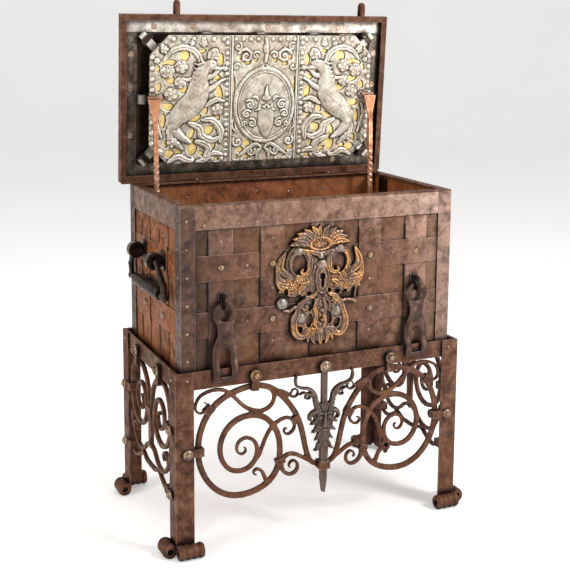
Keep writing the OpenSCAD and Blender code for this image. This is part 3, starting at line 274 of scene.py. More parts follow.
def forged(name, tones, worn, patina, rough=(0.42, 0.62), metallic=0.55, edge=0.7, patch=0.5, corner_shade=0.92,
           specular=0.5, painted_light_along_x=()):
    """Forged metal: tones from dark to light over the mottling, a patina in patches, bright edges that are
    partly wear and partly painted highlight, and painted shade in the corners.

    The last argument gives tones of painted sheen and painted shade that the metal turns to, each between two
    places along X."""
    made, tree, shader = new_material(name, metallic, specular)
    masks = node(tree, "ShaderNodeGroup", node_tree=FORGED)
    base = ramp(tree, masks.outputs["Mottle"], [(i / (len(tones) - 1), tone) for i, tone in enumerate(tones)])
    spots = math_node(tree, "MULTIPLY", masks.outputs["Patch"], patch)
    tinted = mix(tree, spots, base, patina)
    # Painted sheen and painted shade: the metal lightens or darkens between two places along X, as the lamps
    # fall on it.
    for tone, start, end in painted_light_along_x:
        along = node(tree, "ShaderNodeSeparateXYZ")
        link(tree, node(tree, "ShaderNodeTexCoord").outputs["Object"], along.inputs[0])
        share = math_node(tree, "MULTIPLY", stretch(tree, along.outputs["X"], start, end),
                          stretch(tree, masks.outputs["Mottle"], -0.4, 0.9))
        tinted = mix(tree, share, tinted, tone)
    speckled = mix(tree, stretch(tree, masks.outputs["Grain"], 0.62, 0.9, 0.0, 0.35), tinted, tones[0])
    # Bright edges: wear, and a painted highlight as well.
    rubbed = mix(tree, math_node(tree, "MULTIPLY", masks.outputs["Edge"], edge), speckled, worn)
    # Painted shade: the occlusion mask darkens corners and gaps towards a near-black tone.
    corner_shaded = mix(tree, math_node(tree, "MULTIPLY", masks.outputs["Crevice"], corner_shade),
                 rubbed, tuple(0.12 * c for c in tones[0]))
    link(tree, corner_shaded, shader.inputs["Base Color"])
    link(tree, stretch(tree, masks.outputs["Mottle"], 0.0, 1.0, rough[1], rough[0]),
         shader.inputs["Roughness"])
    dent = node(tree, "ShaderNodeBump", Strength=0.35, Distance=0.0012)
    link(tree, masks.outputs["Height"], dent.inputs["Height"])
    link(tree, dent.outputs["Normal"], shader.inputs["Normal"])
    return made


def body_of(name):
    """The moving body that a CAD node belongs to."""
    return next(body for body, names in frame["record"]["behaviour"]["bodies"].items() if name in names)


def swap(piece, name):
    """Puts the finished piece in the place of a CAD node, on the same body."""
    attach(piece, body_of(name))
    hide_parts(name)


def merged_copy(name, suffix="_worked"):
    """A joined copy of a node's triangles, ready for modifiers."""
    source = nodes[name]
    made = bmesh.new()
    made.from_mesh(source.data)
    bmesh.ops.remove_doubles(made, verts=made.verts, dist=SAME_PLACE)
    bmesh.ops.dissolve_limit(made, angle_limit=0.01, verts=made.verts, edges=made.edges)
    mesh = bpy.data.meshes.new(name + suffix)
    made.to_mesh(mesh)
    made.free()
    for material in source.data.materials:
        mesh.materials.append(material)
    return add_object(name + suffix, mesh)


def baked(piece, sharp=35):
    """Applies the modifiers into a plain mesh, shaded smooth up to the given angle."""
    depsgraph = bpy.context.evaluated_depsgraph_get()
    mesh = bpy.data.meshes.new_from_object(piece.evaluated_get(depsgraph))
    piece.modifiers.clear()
    old, piece.data = piece.data, mesh
    bpy.data.meshes.remove(old)
    mesh.polygons.foreach_set("use_smooth", [True] * len(mesh.polygons))
    if sharp:
        mesh.set_sharp_from_angle(angle=math.radians(sharp))
    return piece


def ease(names, width, segments=2, clamp=False):
    """Rounds the sharp edges of flat bars and plates."""
    for name in names:
        piece = merged_copy(name)
        bevel = piece.modifiers.new("eased", "BEVEL")
        bevel.width, bevel.segments, bevel.angle_limit = width, segments, 0.5
        bevel.limit_method = "ANGLE"
        bevel.use_clamp_overlap = clamp
        swap(baked(piece), name)


def coat(names, material):
    """Gives the CAD nodes their metal."""
    for name in names:
        nodes[name].data.materials.clear()
        nodes[name].data.materials.append(material)


FORGED = forged_group()
BROWN = forged("brown_iron",
               [(0.026, 0.009, 0.004), (0.07, 0.026, 0.0125), (0.112, 0.048, 0.026), (0.17, 0.083, 0.049)],
               (0.42, 0.27, 0.19), (0.13, 0.042, 0.016), (0.44, 0.66), metallic=0.3, patch=0.45,
               specular=0.28)
STAND = ("stand_frame", "leg_front_left", "leg_front_right", "leg_rear_left", "leg_rear_right")
BAR_EDGE = 0.0007
coat(STAND, BROWN)
ease(STAND, BAR_EDGE, segments=1, clamp=True)


# Scrollwork
# Two scroll halves at the front and one panel on each side, forged from square bar that tapers to its
# tips and collared where two bars meet. The hammer has worked the bars nearly round.
def forge_round(names, voxel, passes):
    """Forged bars: the square section is worked round and left slightly uneven by the hammer."""
    for name in names:
        piece = merged_copy(name, "_forged")
        remesh = piece.modifiers.new("remesh", "REMESH")
        remesh.mode, remesh.voxel_size = "VOXEL", voxel
        smooth = piece.modifiers.new("round", "SMOOTH")
        smooth.factor, smooth.iterations = 0.6, passes
        swap(baked(piece, sharp=None), name)


SCROLL_VOXEL, ROUNDING_PASSES = 0.0022, 5
SCROLLS = ("front_scroll_left", "front_scroll_right", "side_scroll_left", "side_scroll_right")
coat(SCROLLS, BROWN)
forge_round(SCROLLS, SCROLL_VOXEL, ROUNDING_PASSES)


# Scroll clips and their bosses
# Small hooks of iron clip the scrolls to rails and legs, and a ringed boss, a wide low ring under a dome,
# pins each of them. Geometry Nodes set these heads and the forged heads on chest and lid.
MM = 0.001
BASE = "chest_on_stand"


def open_tree(name, inputs):
    """A Geometry Nodes tree with its own inputs (name, kind, value) between the mesh and the metal."""
    tree = bpy.data.node_groups.new(name, "GeometryNodeTree")
    tree.interface.new_socket("Geometry", in_out="INPUT", socket_type="NodeSocketGeometry")
    for label, kind, value in inputs:
        socket = tree.interface.new_socket(label, in_out="INPUT", socket_type="NodeSocket" + kind)
        socket.default_value = value
    tree.interface.new_socket("Material", in_out="INPUT", socket_type="NodeSocketMaterial")
    tree.interface.new_socket("Geometry", in_out="OUTPUT", socket_type="NodeSocketGeometry")
    return tree, node(tree, "NodeGroupInput")


def close_tree(tree, given, geometry):
    """Makes the instances real and gives them the metal."""
    real = node(tree, "GeometryNodeRealizeInstances")
    link(tree, geometry, real.inputs[0])
    metal = node(tree, "GeometryNodeSetMaterial")
    link(tree, real.outputs[0], metal.inputs["Geometry"])
    link(tree, given.outputs["Material"], metal.inputs["Material"])
    link(tree, metal.outputs[0], node(tree, "NodeGroupOutput").inputs[0])
    return tree


def head_tree():
    """Sets a ringed head, or a hammered dome where kind is 1, on every point."""
    tree, given = open_tree("hammered_heads", (("Sides", "Int", 20), ("Unevenness", "Float", 0.06),
                                               ("Size spread", "Float", 0.07), ("Seed", "Int", 3)))

    def number(operation, a, b=0.5):
        return math_node(tree, operation, a, b)

    def head(ringed):
        ball = node(tree, "GeometryNodeMeshUVSphere", Rings=12)
        link(tree, given.outputs["Sides"], ball.inputs["Segments"])
        place = node(tree, "ShaderNodeSeparateXYZ")
        link(tree, node(tree, "GeometryNodeInputPosition").outputs[0], place.inputs[0])
        x, y, z = place.outputs
        if ringed:
            far = number("SQRT", number("ADD", number("MULTIPLY", x, x), number("MULTIPLY", y, y)))
            wave = number("COSINE", number("MULTIPLY", far, 8.4))
            wave = number("ADD", 0.55, number("MULTIPLY", 0.45, wave))
            height = number("MULTIPLY", number("GREATER_THAN", z, 0.02), wave)
        else:
            knocks = node(tree, "ShaderNodeTexNoise", Scale=2.4, Detail=1.0)
            uneven = number("MULTIPLY", number("SUBTRACT", knocks.outputs[0], 0.5),
                            number("MULTIPLY", given.outputs["Unevenness"], 6.0))
            height = number("MULTIPLY", number("MAXIMUM", z, 0.0), number("ADD", 1.0, uneven))
        spot = node(tree, "ShaderNodeCombineXYZ")
        for value, socket in zip((x, y, height), spot.inputs):
            link(tree, value, socket)
        moved = node(tree, "GeometryNodeSetPosition")
        link(tree, ball.outputs["Mesh"], moved.inputs["Geometry"])
        link(tree, spot.outputs[0], moved.inputs["Position"])
        one = node(tree, "GeometryNodeGeometryToInstance")
        link(tree, moved.outputs[0], one.inputs[0])
        return one.outputs[0]

    choice = node(tree, "GeometryNodeJoinGeometry")
    for made in (head(False), head(True)):
        link(tree, made, choice.inputs[0])

    def stored(name, kind):
        return node(tree, "GeometryNodeInputNamedAttribute", data_type=kind, Name=name).outputs["Attribute"]

    turned = node(tree, "FunctionNodeAlignRotationToVector", axis="Z")
    link(tree, stored("out", "FLOAT_VECTOR"), turned.inputs["Vector"])
    angle = node(tree, "FunctionNodeRandomValue", data_type="FLOAT")
    angle.inputs[3].default_value = 2 * math.pi
    link(tree, given.outputs["Seed"], angle.inputs["Seed"])
    spin = node(tree, "FunctionNodeAxisAngleToRotation")
    spin.inputs["Axis"].default_value = (0, 0, 1)
    link(tree, angle.outputs[1], spin.inputs["Angle"])
    both = node(tree, "FunctionNodeRotateRotation", rotation_space="LOCAL")
    link(tree, turned.outputs[0], both.inputs[0])
    link(tree, spin.outputs[0], both.inputs[1])
    vary = node(tree, "FunctionNodeRandomValue", data_type="FLOAT")
    link(tree, number("SUBTRACT", 1.0, given.outputs["Size spread"]), vary.inputs[2])
    vary.inputs[3].default_value = 1.0
    link(tree, given.outputs["Seed"], vary.inputs["Seed"])
    width = number("MULTIPLY", stored("radius", "FLOAT"), vary.outputs[1])
    scale = node(tree, "ShaderNodeCombineXYZ")
    for value, socket in zip((width, width, stored("rise", "FLOAT")), scale.inputs):
        link(tree, value, socket)
    spread = node(tree, "GeometryNodeInstanceOnPoints")
    for value, socket in ((given.outputs["Geometry"], "Points"), (choice.outputs[0], "Instance"),
                          (stored("kind", "INT"), "Instance Index"), (both.outputs[0], "Rotation"),
                          (scale.outputs[0], "Scale")):
        link(tree, value, spread.inputs[socket])
    spread.inputs["Pick Instance"].default_value = True
    return close_tree(tree, given, spread.outputs[0])


def with_nodes(piece, tree, **values):
    """Runs a Geometry Nodes tree on the piece and keeps its plain mesh."""
    modifier = piece.modifiers.new(tree.name, "NODES")
    modifier.node_group = tree
    for socket in tree.interface.items_tree:
        key = socket.name.replace(" ", "_")
        if socket.item_type == "SOCKET" and socket.in_out == "INPUT" and key in values:
            modifier[socket.identifier] = values[key]
    return baked(piece)


def store(piece, out, radius, rise, kind):
    """Writes on each point which way its head looks, its size and whether it is a plain dome (1)."""
    for label, form, field, values in (("out", "FLOAT_VECTOR", "vector", [c for v in out for c in v]),
                                       ("radius", "FLOAT", "value", radius), ("rise", "FLOAT", "value", rise),
                                       ("kind", "INT", "value", kind)):
        piece.data.attributes.new(label, form, "POINT").data.foreach_set(field, values)


def make_clip_bosses():
    """One boss on each hook, larger under the rail than on the legs."""
    rail, front, end = 478.0, -250.0, 438.0
    on_rail, on_bar, on_leg = 16.0, 17.0, 14.0
    dome_share, ring_rise, dome_rise = 0.72, 6.5, 11.5
    spots = [((x, front, rail), (0, -1, 0), on_rail) for x in (-207, 207)]
    spots += [((0, front - 3, rail), (0, -1, 0), on_bar)]
    spots += [((x, front, 285.0), (0, -1, 0), on_leg) for x in (-400, 400)]
    for side in (-1, 1):
        spots += [((side * end, y, rail), (side, 0, 0), on_rail) for y in (-100, 100)]
        spots += [((side * end, y, z), (side, 0, 0), on_leg) for y in (-212, 212) for z in (166, 345)]
    heads = [(place, out, r, ring_rise, 0) for place, out, r in spots]
    heads += [(place, out, r * dome_share, dome_rise, 1) for place, out, r in spots]
    piece = mesh_object("clip_bosses", [[c * MM for c in h[0]] for h in heads])
    store(piece, [h[1] for h in heads], [h[2] * MM for h in heads], [h[3] * MM for h in heads],
          [h[4] for h in heads])
    with_nodes(piece, HEADS, Seed=9, Sides=28, Size_spread=0.0, Material=STUD)
    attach(piece, BASE)


STUD = forged("stud_iron", [(0.1, 0.062, 0.04), (0.26, 0.18, 0.12), (0.42, 0.325, 0.24)],
              (0.74, 0.64, 0.54), (0.34, 0.2, 0.085), metallic=0.55, rough=(0.24, 0.4), edge=0.2, patch=0.35,
              corner_shade=0.5)
HEADS = head_tree()
coat(("scroll_clips",), BROWN)
make_clip_bosses()


# Pendant
# Leaf mask of black iron on the middle bar of the stand, with two horned necks that curl up to the rail.
# It is cut from thick sheet and chased. Its relief, like that of escutcheon and lock covers, is a height
# field in mm, and where the field drops under the sheet the piece is cut away.
PENDANT_FACE = -241.3
CUT_AWAY = -9.0


def smooth_path(points, step=1.6):
    """A smooth curve through the points, with a place about every step mm."""
    p = np.array(points, float)
    ends = np.vstack([p[0], p, p[-1]])
    parts = []
    for a, b, c, d in zip(ends, ends[1:], ends[2:], ends[3:]):
        t = np.linspace(0, 1, max(2, int(np.linalg.norm(c - b) / step)), endpoint=False)[:, None]
        parts.append(0.5 * (2 * b + (c - a) * t + (2 * a - 5 * b + 4 * c - d) * t ** 2
                            + (3 * b - a - 3 * c + d) * t ** 3))
    return np.vstack(parts + [p[-1:]])


def spiral_path(centre, r0, r1, start, turns):
    """A spiral that winds in from radius r0 to r1, from the angle start in degrees."""
    n = int(abs(turns) * 22) + 4
    t = np.linspace(0, 1, n)
    a = np.radians(start) + t * turns * 2 * math.pi
    r = r0 * (r1 / r0) ** t
    return np.stack([centre[0] + r * np.cos(a), centre[1] + r * np.sin(a)], 1)


class Relief:
    """A height field on the grid (u, v) that ornament is raised on."""

    def __init__(self, u, v, floor):
        self.u, self.v = u, v
        self.h = np.full(u.shape, float(floor))
        self.mark = np.zeros(u.shape)

    def near(self, path, reach):
        """The places of the grid within reach of the path's box."""
        low, high = path.min(0) - reach, path.max(0) + reach
        return np.nonzero((self.u > low[0]) & (self.u < high[0]) & (self.v > low[1]) & (self.v < high[1]))

    def stroke(self, points, widths, height, base, groove=0.0, flat=0.5, lobes=0, ready=False):
        """A raised band along points; groove cuts a vein, flat squares its section, lobes notch its edges."""
        path = np.array(points, float) if ready else smooth_path(points)
        where = self.near(path, max(widths) / 2 + 1)
        if not len(where[0]):
            return
        du = self.u[where][:, None] - path[:, 0]
        dv = self.v[where][:, None] - path[:, 1]
        gap = du * du + dv * dv
        best = gap.argmin(1)
        along = best / max(1, len(path) - 1)
        half = np.interp(along, np.linspace(0, 1, len(widths)), widths) / 2
        if lobes:
            half = half * (0.84 + 0.16 * np.abs(np.sin(math.pi * lobes * along)))
        t = np.sqrt(gap[np.arange(len(best)), best]) / np.maximum(half, 0.01)
        rise = np.clip(1 - t ** 2, 0, 1) ** flat
        value = base + height * rise - groove * np.exp(-(t / 0.22) ** 2) * (t < 1)
        self.h[where] = np.where(t < 1, np.maximum(self.h[where], value), self.h[where])

    def oval(self, centre, radii, turn):
        """The places near an oval, and how far out each lies as a share of its radii."""
        where = self.near(np.array([centre], float), max(radii))
        c, s = math.cos(math.radians(turn)), math.sin(math.radians(turn))
        du, dv = self.u[where] - centre[0], self.v[where] - centre[1]
        return where, np.hypot((du * c + dv * s) / radii[0], (dv * c - du * s) / radii[1])

    def boss(self, centre, radii, height, base, turn=0.0, flat=0.5, ring=None, mark=0.0):
        """A domed oval; with ring it is a raised ring of that inner share, with mark bare metal."""
        where, t = self.oval(centre, radii, turn)
        if ring:
            t = np.abs(t - (1 + ring) / 2) / ((1 - ring) / 2)
        value = base + height * np.clip(1 - t ** 2, 0, 1) ** flat
        self.h[where] = np.where(t < 1, np.maximum(self.h[where], value), self.h[where])
        self.mark[where] = np.where(t < 1, np.maximum(self.mark[where], mark), self.mark[where])

    def sink(self, centre, radii, depth, turn=0.0):
        """Cuts an oval down to the given depth."""
        where, t = self.oval(centre, radii, turn)
        self.h[where] = np.where(t < 1, depth, self.h[where])

    def beads(self, count, centre, reach, radius, height, base, start=0.0):
        """A ring of small domes at the reach (across, up) from its centre."""
        for k in range(count):
            a = math.radians(360 / count * k + start)
            self.boss((centre[0] + reach[0] * math.cos(a), centre[1] + reach[1] * math.sin(a)),
                      (radius, radius), height, base)

    def waver(self, depth, across, across_bend, up, up_bend):
        """Uneven swells that the hammer leaves on everything that stands above the ground."""
        across = np.sin(self.u * across + 2 * np.sin(self.v * across_bend))
        up = np.sin(self.v * up + 2 * np.sin(self.u * up_bend))
        self.h += depth * across * up * (self.h > 0.5)

    def leaf(self, root, tip, width, height, bend, base, lobes=3):
        """A veined leaf, bent sideways by a share of its length."""
        a, b = np.array(root, float), np.array(tip, float)
        side = np.array([-(b - a)[1], (b - a)[0]]) * bend
        middle = (a + b) / 2 + side
        self.stroke([a, middle, b], [width * 0.35, width, width * 0.85, width * 0.1], height, base,
                    groove=height * 0.35, flat=0.6, lobes=lobes)

    def foliate(self, centre, radius, start, turns, width, height, base, leaves):
        """A spiral stem with leaves outside and a flower at its eye."""
        path = spiral_path(centre, radius, radius * 0.24, start, turns)
        self.stroke(path, [width, width * 0.9, width * 0.6], height, base, groove=height * 0.2, ready=True)
        for k in range(leaves):
            i = int(len(path) * k / leaves * 0.62)
            out = (path[i] - centre) / max(np.linalg.norm(path[i] - centre), 1)
            ahead = path[min(i + 3, len(path) - 1)] - path[i]
            ahead = ahead / max(np.linalg.norm(ahead), 0.01)
            self.leaf(path[i], path[i] + (out * 0.75 + ahead * 0.85) * radius * 0.62, width * 1.3,
                      height * 0.85, 0.25 * np.sign(turns), base)
        petal = radius * 0.19
        self.beads(6, centre, (petal, petal), petal * 0.6, height * 0.8, base, start)
        self.boss(centre, (petal * 0.6, petal * 0.6), height * 1.15, base)


def blur(field, times):
    """Softens a field by its neighbours."""
    for _ in range(times):
        padded = np.pad(field, 1, mode="edge")
        beside = padded[:-2, 1:-1] + padded[2:, 1:-1] + padded[1:-1, :-2] + padded[1:-1, 2:]
        field = (beside + 4 * padded[1:-1, 1:-1]) / 8
    return field


def relief_piece(name, field, place, cut, back, material):
    """Closed mesh of a height field. place(u, v, h) gives world mm, back is the level of its rear face, and
    what lies under cut is left open. Hollows and bare bosses are stored for the chased metal."""
    rows, cols = field.h.shape
    h = np.maximum(blur(field.h, 1), back)
    keep = field.h > cut
    cells = keep[:-1, :-1] | keep[1:, :-1] | keep[:-1, 1:] | keep[1:, 1:]
    h = np.where(keep, np.maximum(h, cut), back)
    cavity = np.clip((h - blur(h, 10)) / 1.6, -1, 1)
    h[0], h[-1], h[:, 0], h[:, -1] = back, back, back, back
    flat = np.full(h.size, float(back))
    verts = np.vstack([place(field.u.ravel(), field.v.ravel(), level) for level in (h.ravel(), flat)]) * MM
    index = np.arange(rows * cols).reshape(rows, cols)
    under = np.where(h > back, index + rows * cols, index)
    quads = np.vstack([np.stack([index[:-1, :-1], index[:-1, 1:], index[1:, 1:], index[1:, :-1]], -1)[cells],
                       np.stack([under[:-1, :-1], under[1:, :-1], under[1:, 1:], under[:-1, 1:]], -1)[cells]])
    used = np.unique(quads)
    remap = np.full(2 * rows * cols, -1)
    remap[used] = np.arange(len(used))
    piece = mesh_object(name, [])
    mesh = piece.data
    mesh.vertices.add(len(used))
    mesh.vertices.foreach_set("co", verts[used].astype(np.float32).ravel())
    mesh.loops.add(quads.size)
    mesh.loops.foreach_set("vertex_index", remap[quads].astype(np.int32).ravel())
    mesh.polygons.add(len(quads))
    mesh.polygons.foreach_set("loop_start", np.arange(0, quads.size, 4, dtype=np.int32))
    mesh.polygons.foreach_set("use_smooth", [True] * len(quads))
    mesh.update(calc_edges=True)
    for label, values in (("cavity", cavity), ("bare", blur(field.mark, 1))):
        layer = mesh.attributes.new(label, "FLOAT", "POINT")
        layer.data.foreach_set("value", np.tile(values.ravel(), 2)[used].astype(np.float32))
    mesh.materials.append(material)
    return piece


def attribute(tree, name):
    """What the relief has stored on its points."""
    return node(tree, "ShaderNodeAttribute", attribute_name=name).outputs["Fac"]


def chased(name, dark, middle, bright, patina, rough=(0.5, 0.3), metallic=0.6, worn=None, bare=None):
    """Chased metal: dirt in the hollows, rubbed bright on the crests and painted shade in the corners, over
    the shared forged masks.

    worn is the crest tone where the gilding has gone, bare the tone of marked bosses."""
    made, tree, shader = new_material(name, metallic)
    masks = node(tree, "ShaderNodeGroup", node_tree=FORGED)
    uneven = math_node(tree, "SUBTRACT", masks.outputs["Mottle"], 0.5)
    wear = math_node(tree, "ADD", stretch(tree, attribute(tree, "cavity"), -0.75, 0.6),
                     math_node(tree, "MULTIPLY", uneven, 0.35))
    base = ramp(tree, wear, [(0.05, dark), (0.45, middle), (0.85, bright)])
    if worn:
        gone = node(tree, "ShaderNodeTexNoise", Scale=24.0, Detail=4.0, Roughness=0.6)
        link(tree, node(tree, "ShaderNodeTexCoord").outputs["Object"], gone.inputs["Vector"])
        lost = ramp(tree, wear, [(0.05, dark), (0.5, tuple(0.4 * c for c in worn)), (0.95, worn)])
        base = mix(tree, stretch(tree, gone.outputs["Fac"], 0.44, 0.54), base, lost)
    if bare:
        shown = ramp(tree, wear, [(0.05, dark), (0.4, tuple(0.5 * c for c in bare)), (0.8, bare)])
        base = mix(tree, attribute(tree, "bare"), base, shown)
    # Painted shade: the occlusion mask darkens corners and gaps.
    base = mix(tree, math_node(tree, "MULTIPLY", masks.outputs["Crevice"], 0.6),
               base, tuple(0.5 * c for c in dark))
    spots = math_node(tree, "MULTIPLY", masks.outputs["Patch"], 0.35)
    link(tree, mix(tree, spots, base, patina, "MULTIPLY"), shader.inputs["Base Color"])
    link(tree, stretch(tree, wear, 0.0, 1.0, rough[0], rough[1]), shader.inputs["Roughness"])
    dent = node(tree, "ShaderNodeBump", Strength=0.12, Distance=0.0008)
    link(tree, masks.outputs["Height"], dent.inputs["Height"])
    link(tree, dent.outputs["Normal"], shader.inputs["Normal"])
    return made


def front_place(face):
    """World mm of a relief on a face that looks to the front."""
    return lambda u, v, h: np.stack([u, face - h, v], -1)


def pendant_field():
    """Bar, mask, necks, brows, horns, cheek leaves and the pointed drop, in mm across and up."""
    u, v = np.meshgrid(np.linspace(-98, 98, 190), np.linspace(112, 480, 340))
    f = Relief(u, v, CUT_AWAY)
    f.stroke([(0, 474), (0, 440), (0, 400), (0, 350)], [18, 18, 18, 18], 5.0, 6.5, flat=0.25)
    f.boss((0, 322), (27, 42), 3.0, 7.0, flat=0.35)
    f.boss((0, 338), (33, 22), 2.5, 7.0, flat=0.35)
    f.stroke([(0, 300), (0, 266), (0, 236), (0, 205), (0, 160), (0, 116)], [42, 30, 25, 21, 20, 9],
             6.0, 7.0, flat=0.35)
    for s in (-1, 1):
        f.stroke([(s * 16, 345), (s * 25, 378), (s * 29, 396), (s * 37, 410), (s * 52, 419), (s * 70, 423),
                  (s * 84, 432), (s * 88, 446), (s * 86, 458)], [20, 17, 15, 15, 10, 8, 7, 7, 6], 7.0, 6.5)
        f.boss((s * 37, 402), (12, 10), 9.0, 6.5)
        f.stroke([(s * 40, 404), (s * 52, 404), (s * 64, 409), (s * 76, 405)], [9, 8, 6, 4], 5.5, 6.5)
        f.stroke([(s * 40, 398), (s * 50, 390), (s * 58, 394), (s * 55, 401)], [7, 6, 5, 3], 5.0, 6.5)
        for k in range(4):
            f.stroke([(s * (13 + k * 3), 356 + 12 * k), (s * (20 + k * 3), 352 + 12 * k),
                      (s * (28 + k * 2.5), 356 + 12 * k)], [2, 3.5, 2], 2.0, 12.5)
        f.stroke([(s * 20, 350), (s * 33, 348), (s * 43, 340), (s * 44, 330), (s * 38, 326)],
                 [12, 14, 13, 10, 6], 7.0, 6.5)
        f.leaf((s * 20, 330), (s * 43, 314), 14, 6.0, -0.1 * s, 6.5, 3)
        f.leaf((s * 16, 314), (s * 37, 290), 15, 6.0, -0.15 * s, 6.5, 3)
        f.leaf((s * 13, 298), (s * 28, 266), 13, 5.5, -0.15 * s, 6.5, 3)
        f.stroke([(s * 10, 262), (s * 17, 252), (s * 21, 242), (s * 28, 238)], [9, 11, 8, 5], 6.0, 6.5)
        f.boss((s * 14, 332), (9, 7), 4.0, 10.0)
        f.boss((s * 13, 331), (4, 3.5), 2.0, 13.0)
        f.stroke([(s * 4, 342), (s * 13, 345), (s * 24, 340)], [4, 7, 4], 5.0, 10.5)
        f.stroke([(s * 6, 308), (s * 16, 304), (s * 24, 312)], [4, 6, 3], 4.5, 10.0)
        f.leaf((s * 3, 296), (s * 12, 262), 9, 3.5, -0.1 * s, 11.5, 3)
        f.leaf((s * 4, 350), (s * 15, 374), 11, 3.5, 0.1 * s, 9.0, 3)
    f.stroke([(0, 348), (0, 326), (0, 308)], [6, 9, 14], 6.0, 11.5)
    f.stroke([(-11, 299), (0, 296), (11, 299)], [3, 6, 3], 4.5, 11.5)
    f.leaf((0, 290), (0, 246), 14, 4.5, 0.0, 11.0, 4)
    f.stroke([(-11, 204), (0, 201), (11, 204)], [9, 9, 9], 3.0, 12.5)
    return f


CHASED_BLACK = chased("chased_black", (0.008, 0.006, 0.005), (0.036, 0.024, 0.019), (0.13, 0.088, 0.07),
                      (0.8, 0.6, 0.5), rough=(0.62, 0.42), metallic=0.45)
pendant = relief_piece("pendant_relief", pendant_field(), front_place(PENDANT_FACE), cut=2.0, back=0.0,
                       material=CHASED_BLACK)
swap(pendant, "pendant_ornament")


# Chest plates
# Five sheets of iron, riveted at their edges. Outside they show between the straps, sooty brown at front
# and back and redder on the two sides. Inside they are bare red-brown rust.
SKIN_DEPTH = 0.0005


def face_plate(name, across, material):
    """The outer skin of a plate takes its own tone; across is the axis through the plate."""
    mesh = nodes[name].data
    low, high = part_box(name)
    mesh.materials.append(material)
    skin = max(abs(low[across]), abs(high[across])) - SKIN_DEPTH
    for face in mesh.polygons:
        face.material_index = int(abs(face.center[across]) > skin)


PLATE = forged("rusty_plate", [(0.075, 0.022, 0.007), (0.2, 0.06, 0.022), (0.32, 0.108, 0.042)],
               (0.38, 0.19, 0.1), (0.38, 0.14, 0.045), rough=(0.55, 0.75), metallic=0.15, edge=0.4,
               specular=0.3)
# Front and back panels darken towards the left end as painted shade and lighten towards the right as a
# painted sheen.
PANEL = forged("brown_panel",
               [(0.022, 0.009, 0.004), (0.074, 0.032, 0.016), (0.13, 0.06, 0.033), (0.19, 0.1, 0.06)],
               (0.4, 0.26, 0.18), (0.17, 0.064, 0.024), metallic=0.25, patch=0.6, rough=(0.45, 0.7),
               specular=0.35, painted_light_along_x=[((0.03, 0.016, 0.009), -0.16, -0.42), ((0.19, 0.105, 0.067), 0.1, 0.5)])
SIDE_PANEL = forged("side_panel",
                    [(0.045, 0.016, 0.006), (0.155, 0.057, 0.023), (0.25, 0.1, 0.042), (0.33, 0.152, 0.072)],
                    (0.48, 0.3, 0.18), (0.24, 0.086, 0.028), (0.45, 0.68), metallic=0.08, patch=0.7,
                    specular=0.16)
coat(("chest_front", "chest_back", "chest_left", "chest_right", "chest_floor"), PLATE)
for name, across, metal in (("chest_front", 1, PANEL), ("chest_back", 1, PANEL),
                            ("chest_left", 0, SIDE_PANEL), ("chest_right", 0, SIDE_PANEL)):
    face_plate(name, across, metal)


# Rim
# A broad band of paler, rubbed iron is riveted round the mouth, and a painted sheen lightens it towards
# the right end. The flange turned inwards at its upper edge is what the bolts of the lock catch under.
# Painted sheen: the band turns paler towards the right end.
BAND = forged("band_iron",
              [(0.05, 0.022, 0.013), (0.125, 0.06, 0.038), (0.195, 0.105, 0.072), (0.28, 0.17, 0.125)],
              (0.5, 0.37, 0.3), (0.17, 0.068, 0.034), (0.34, 0.52), metallic=0.4, patch=0.4,
              painted_light_along_x=[((0.38, 0.26, 0.205), 0.0, 0.44)])
coat(("rim_band",), BAND)
coat(("rim_flange",), BROWN)
ease(("rim_band",), BAR_EDGE, segments=1, clamp=True)


# Straps and corner strips
# Flat iron straps, woven over and under each other, are studded to all four walls, and angle strips cap
# the corners. A painted highlight brightens their upper edges, and a painted shadow line runs along one edge
# of each upright strap.
WALL_X, WALL_Y, STRAP_LIFT = 405, 220, 3.7


def dress_straps(name):
    """Flat faces take the metal, upper edges a painted highlight and upright edges a painted shadow."""
    on_wall, short_of_corner = 0.2195, 0.4
    mesh = nodes[name].data
    for tone in (TOP_HIGHLIGHT, SEAM_SHADOW):
        mesh.materials.append(tone)
    for face in mesh.polygons:
        n, c = face.normal, face.center
        if name == "corner_strips":
            outward = max(abs(n.x), abs(n.y))
        else:
            outward = abs(n.y) if abs(c.y) > on_wall and abs(c.x) < short_of_corner else abs(n.x)
        if outward < 0.5:
            # Upper edge faces take the painted highlight, upright edge faces the painted shadow.
            face.material_index = 1 if n.z > 0.7 else 2 if abs(n.z) < 0.3 else 0


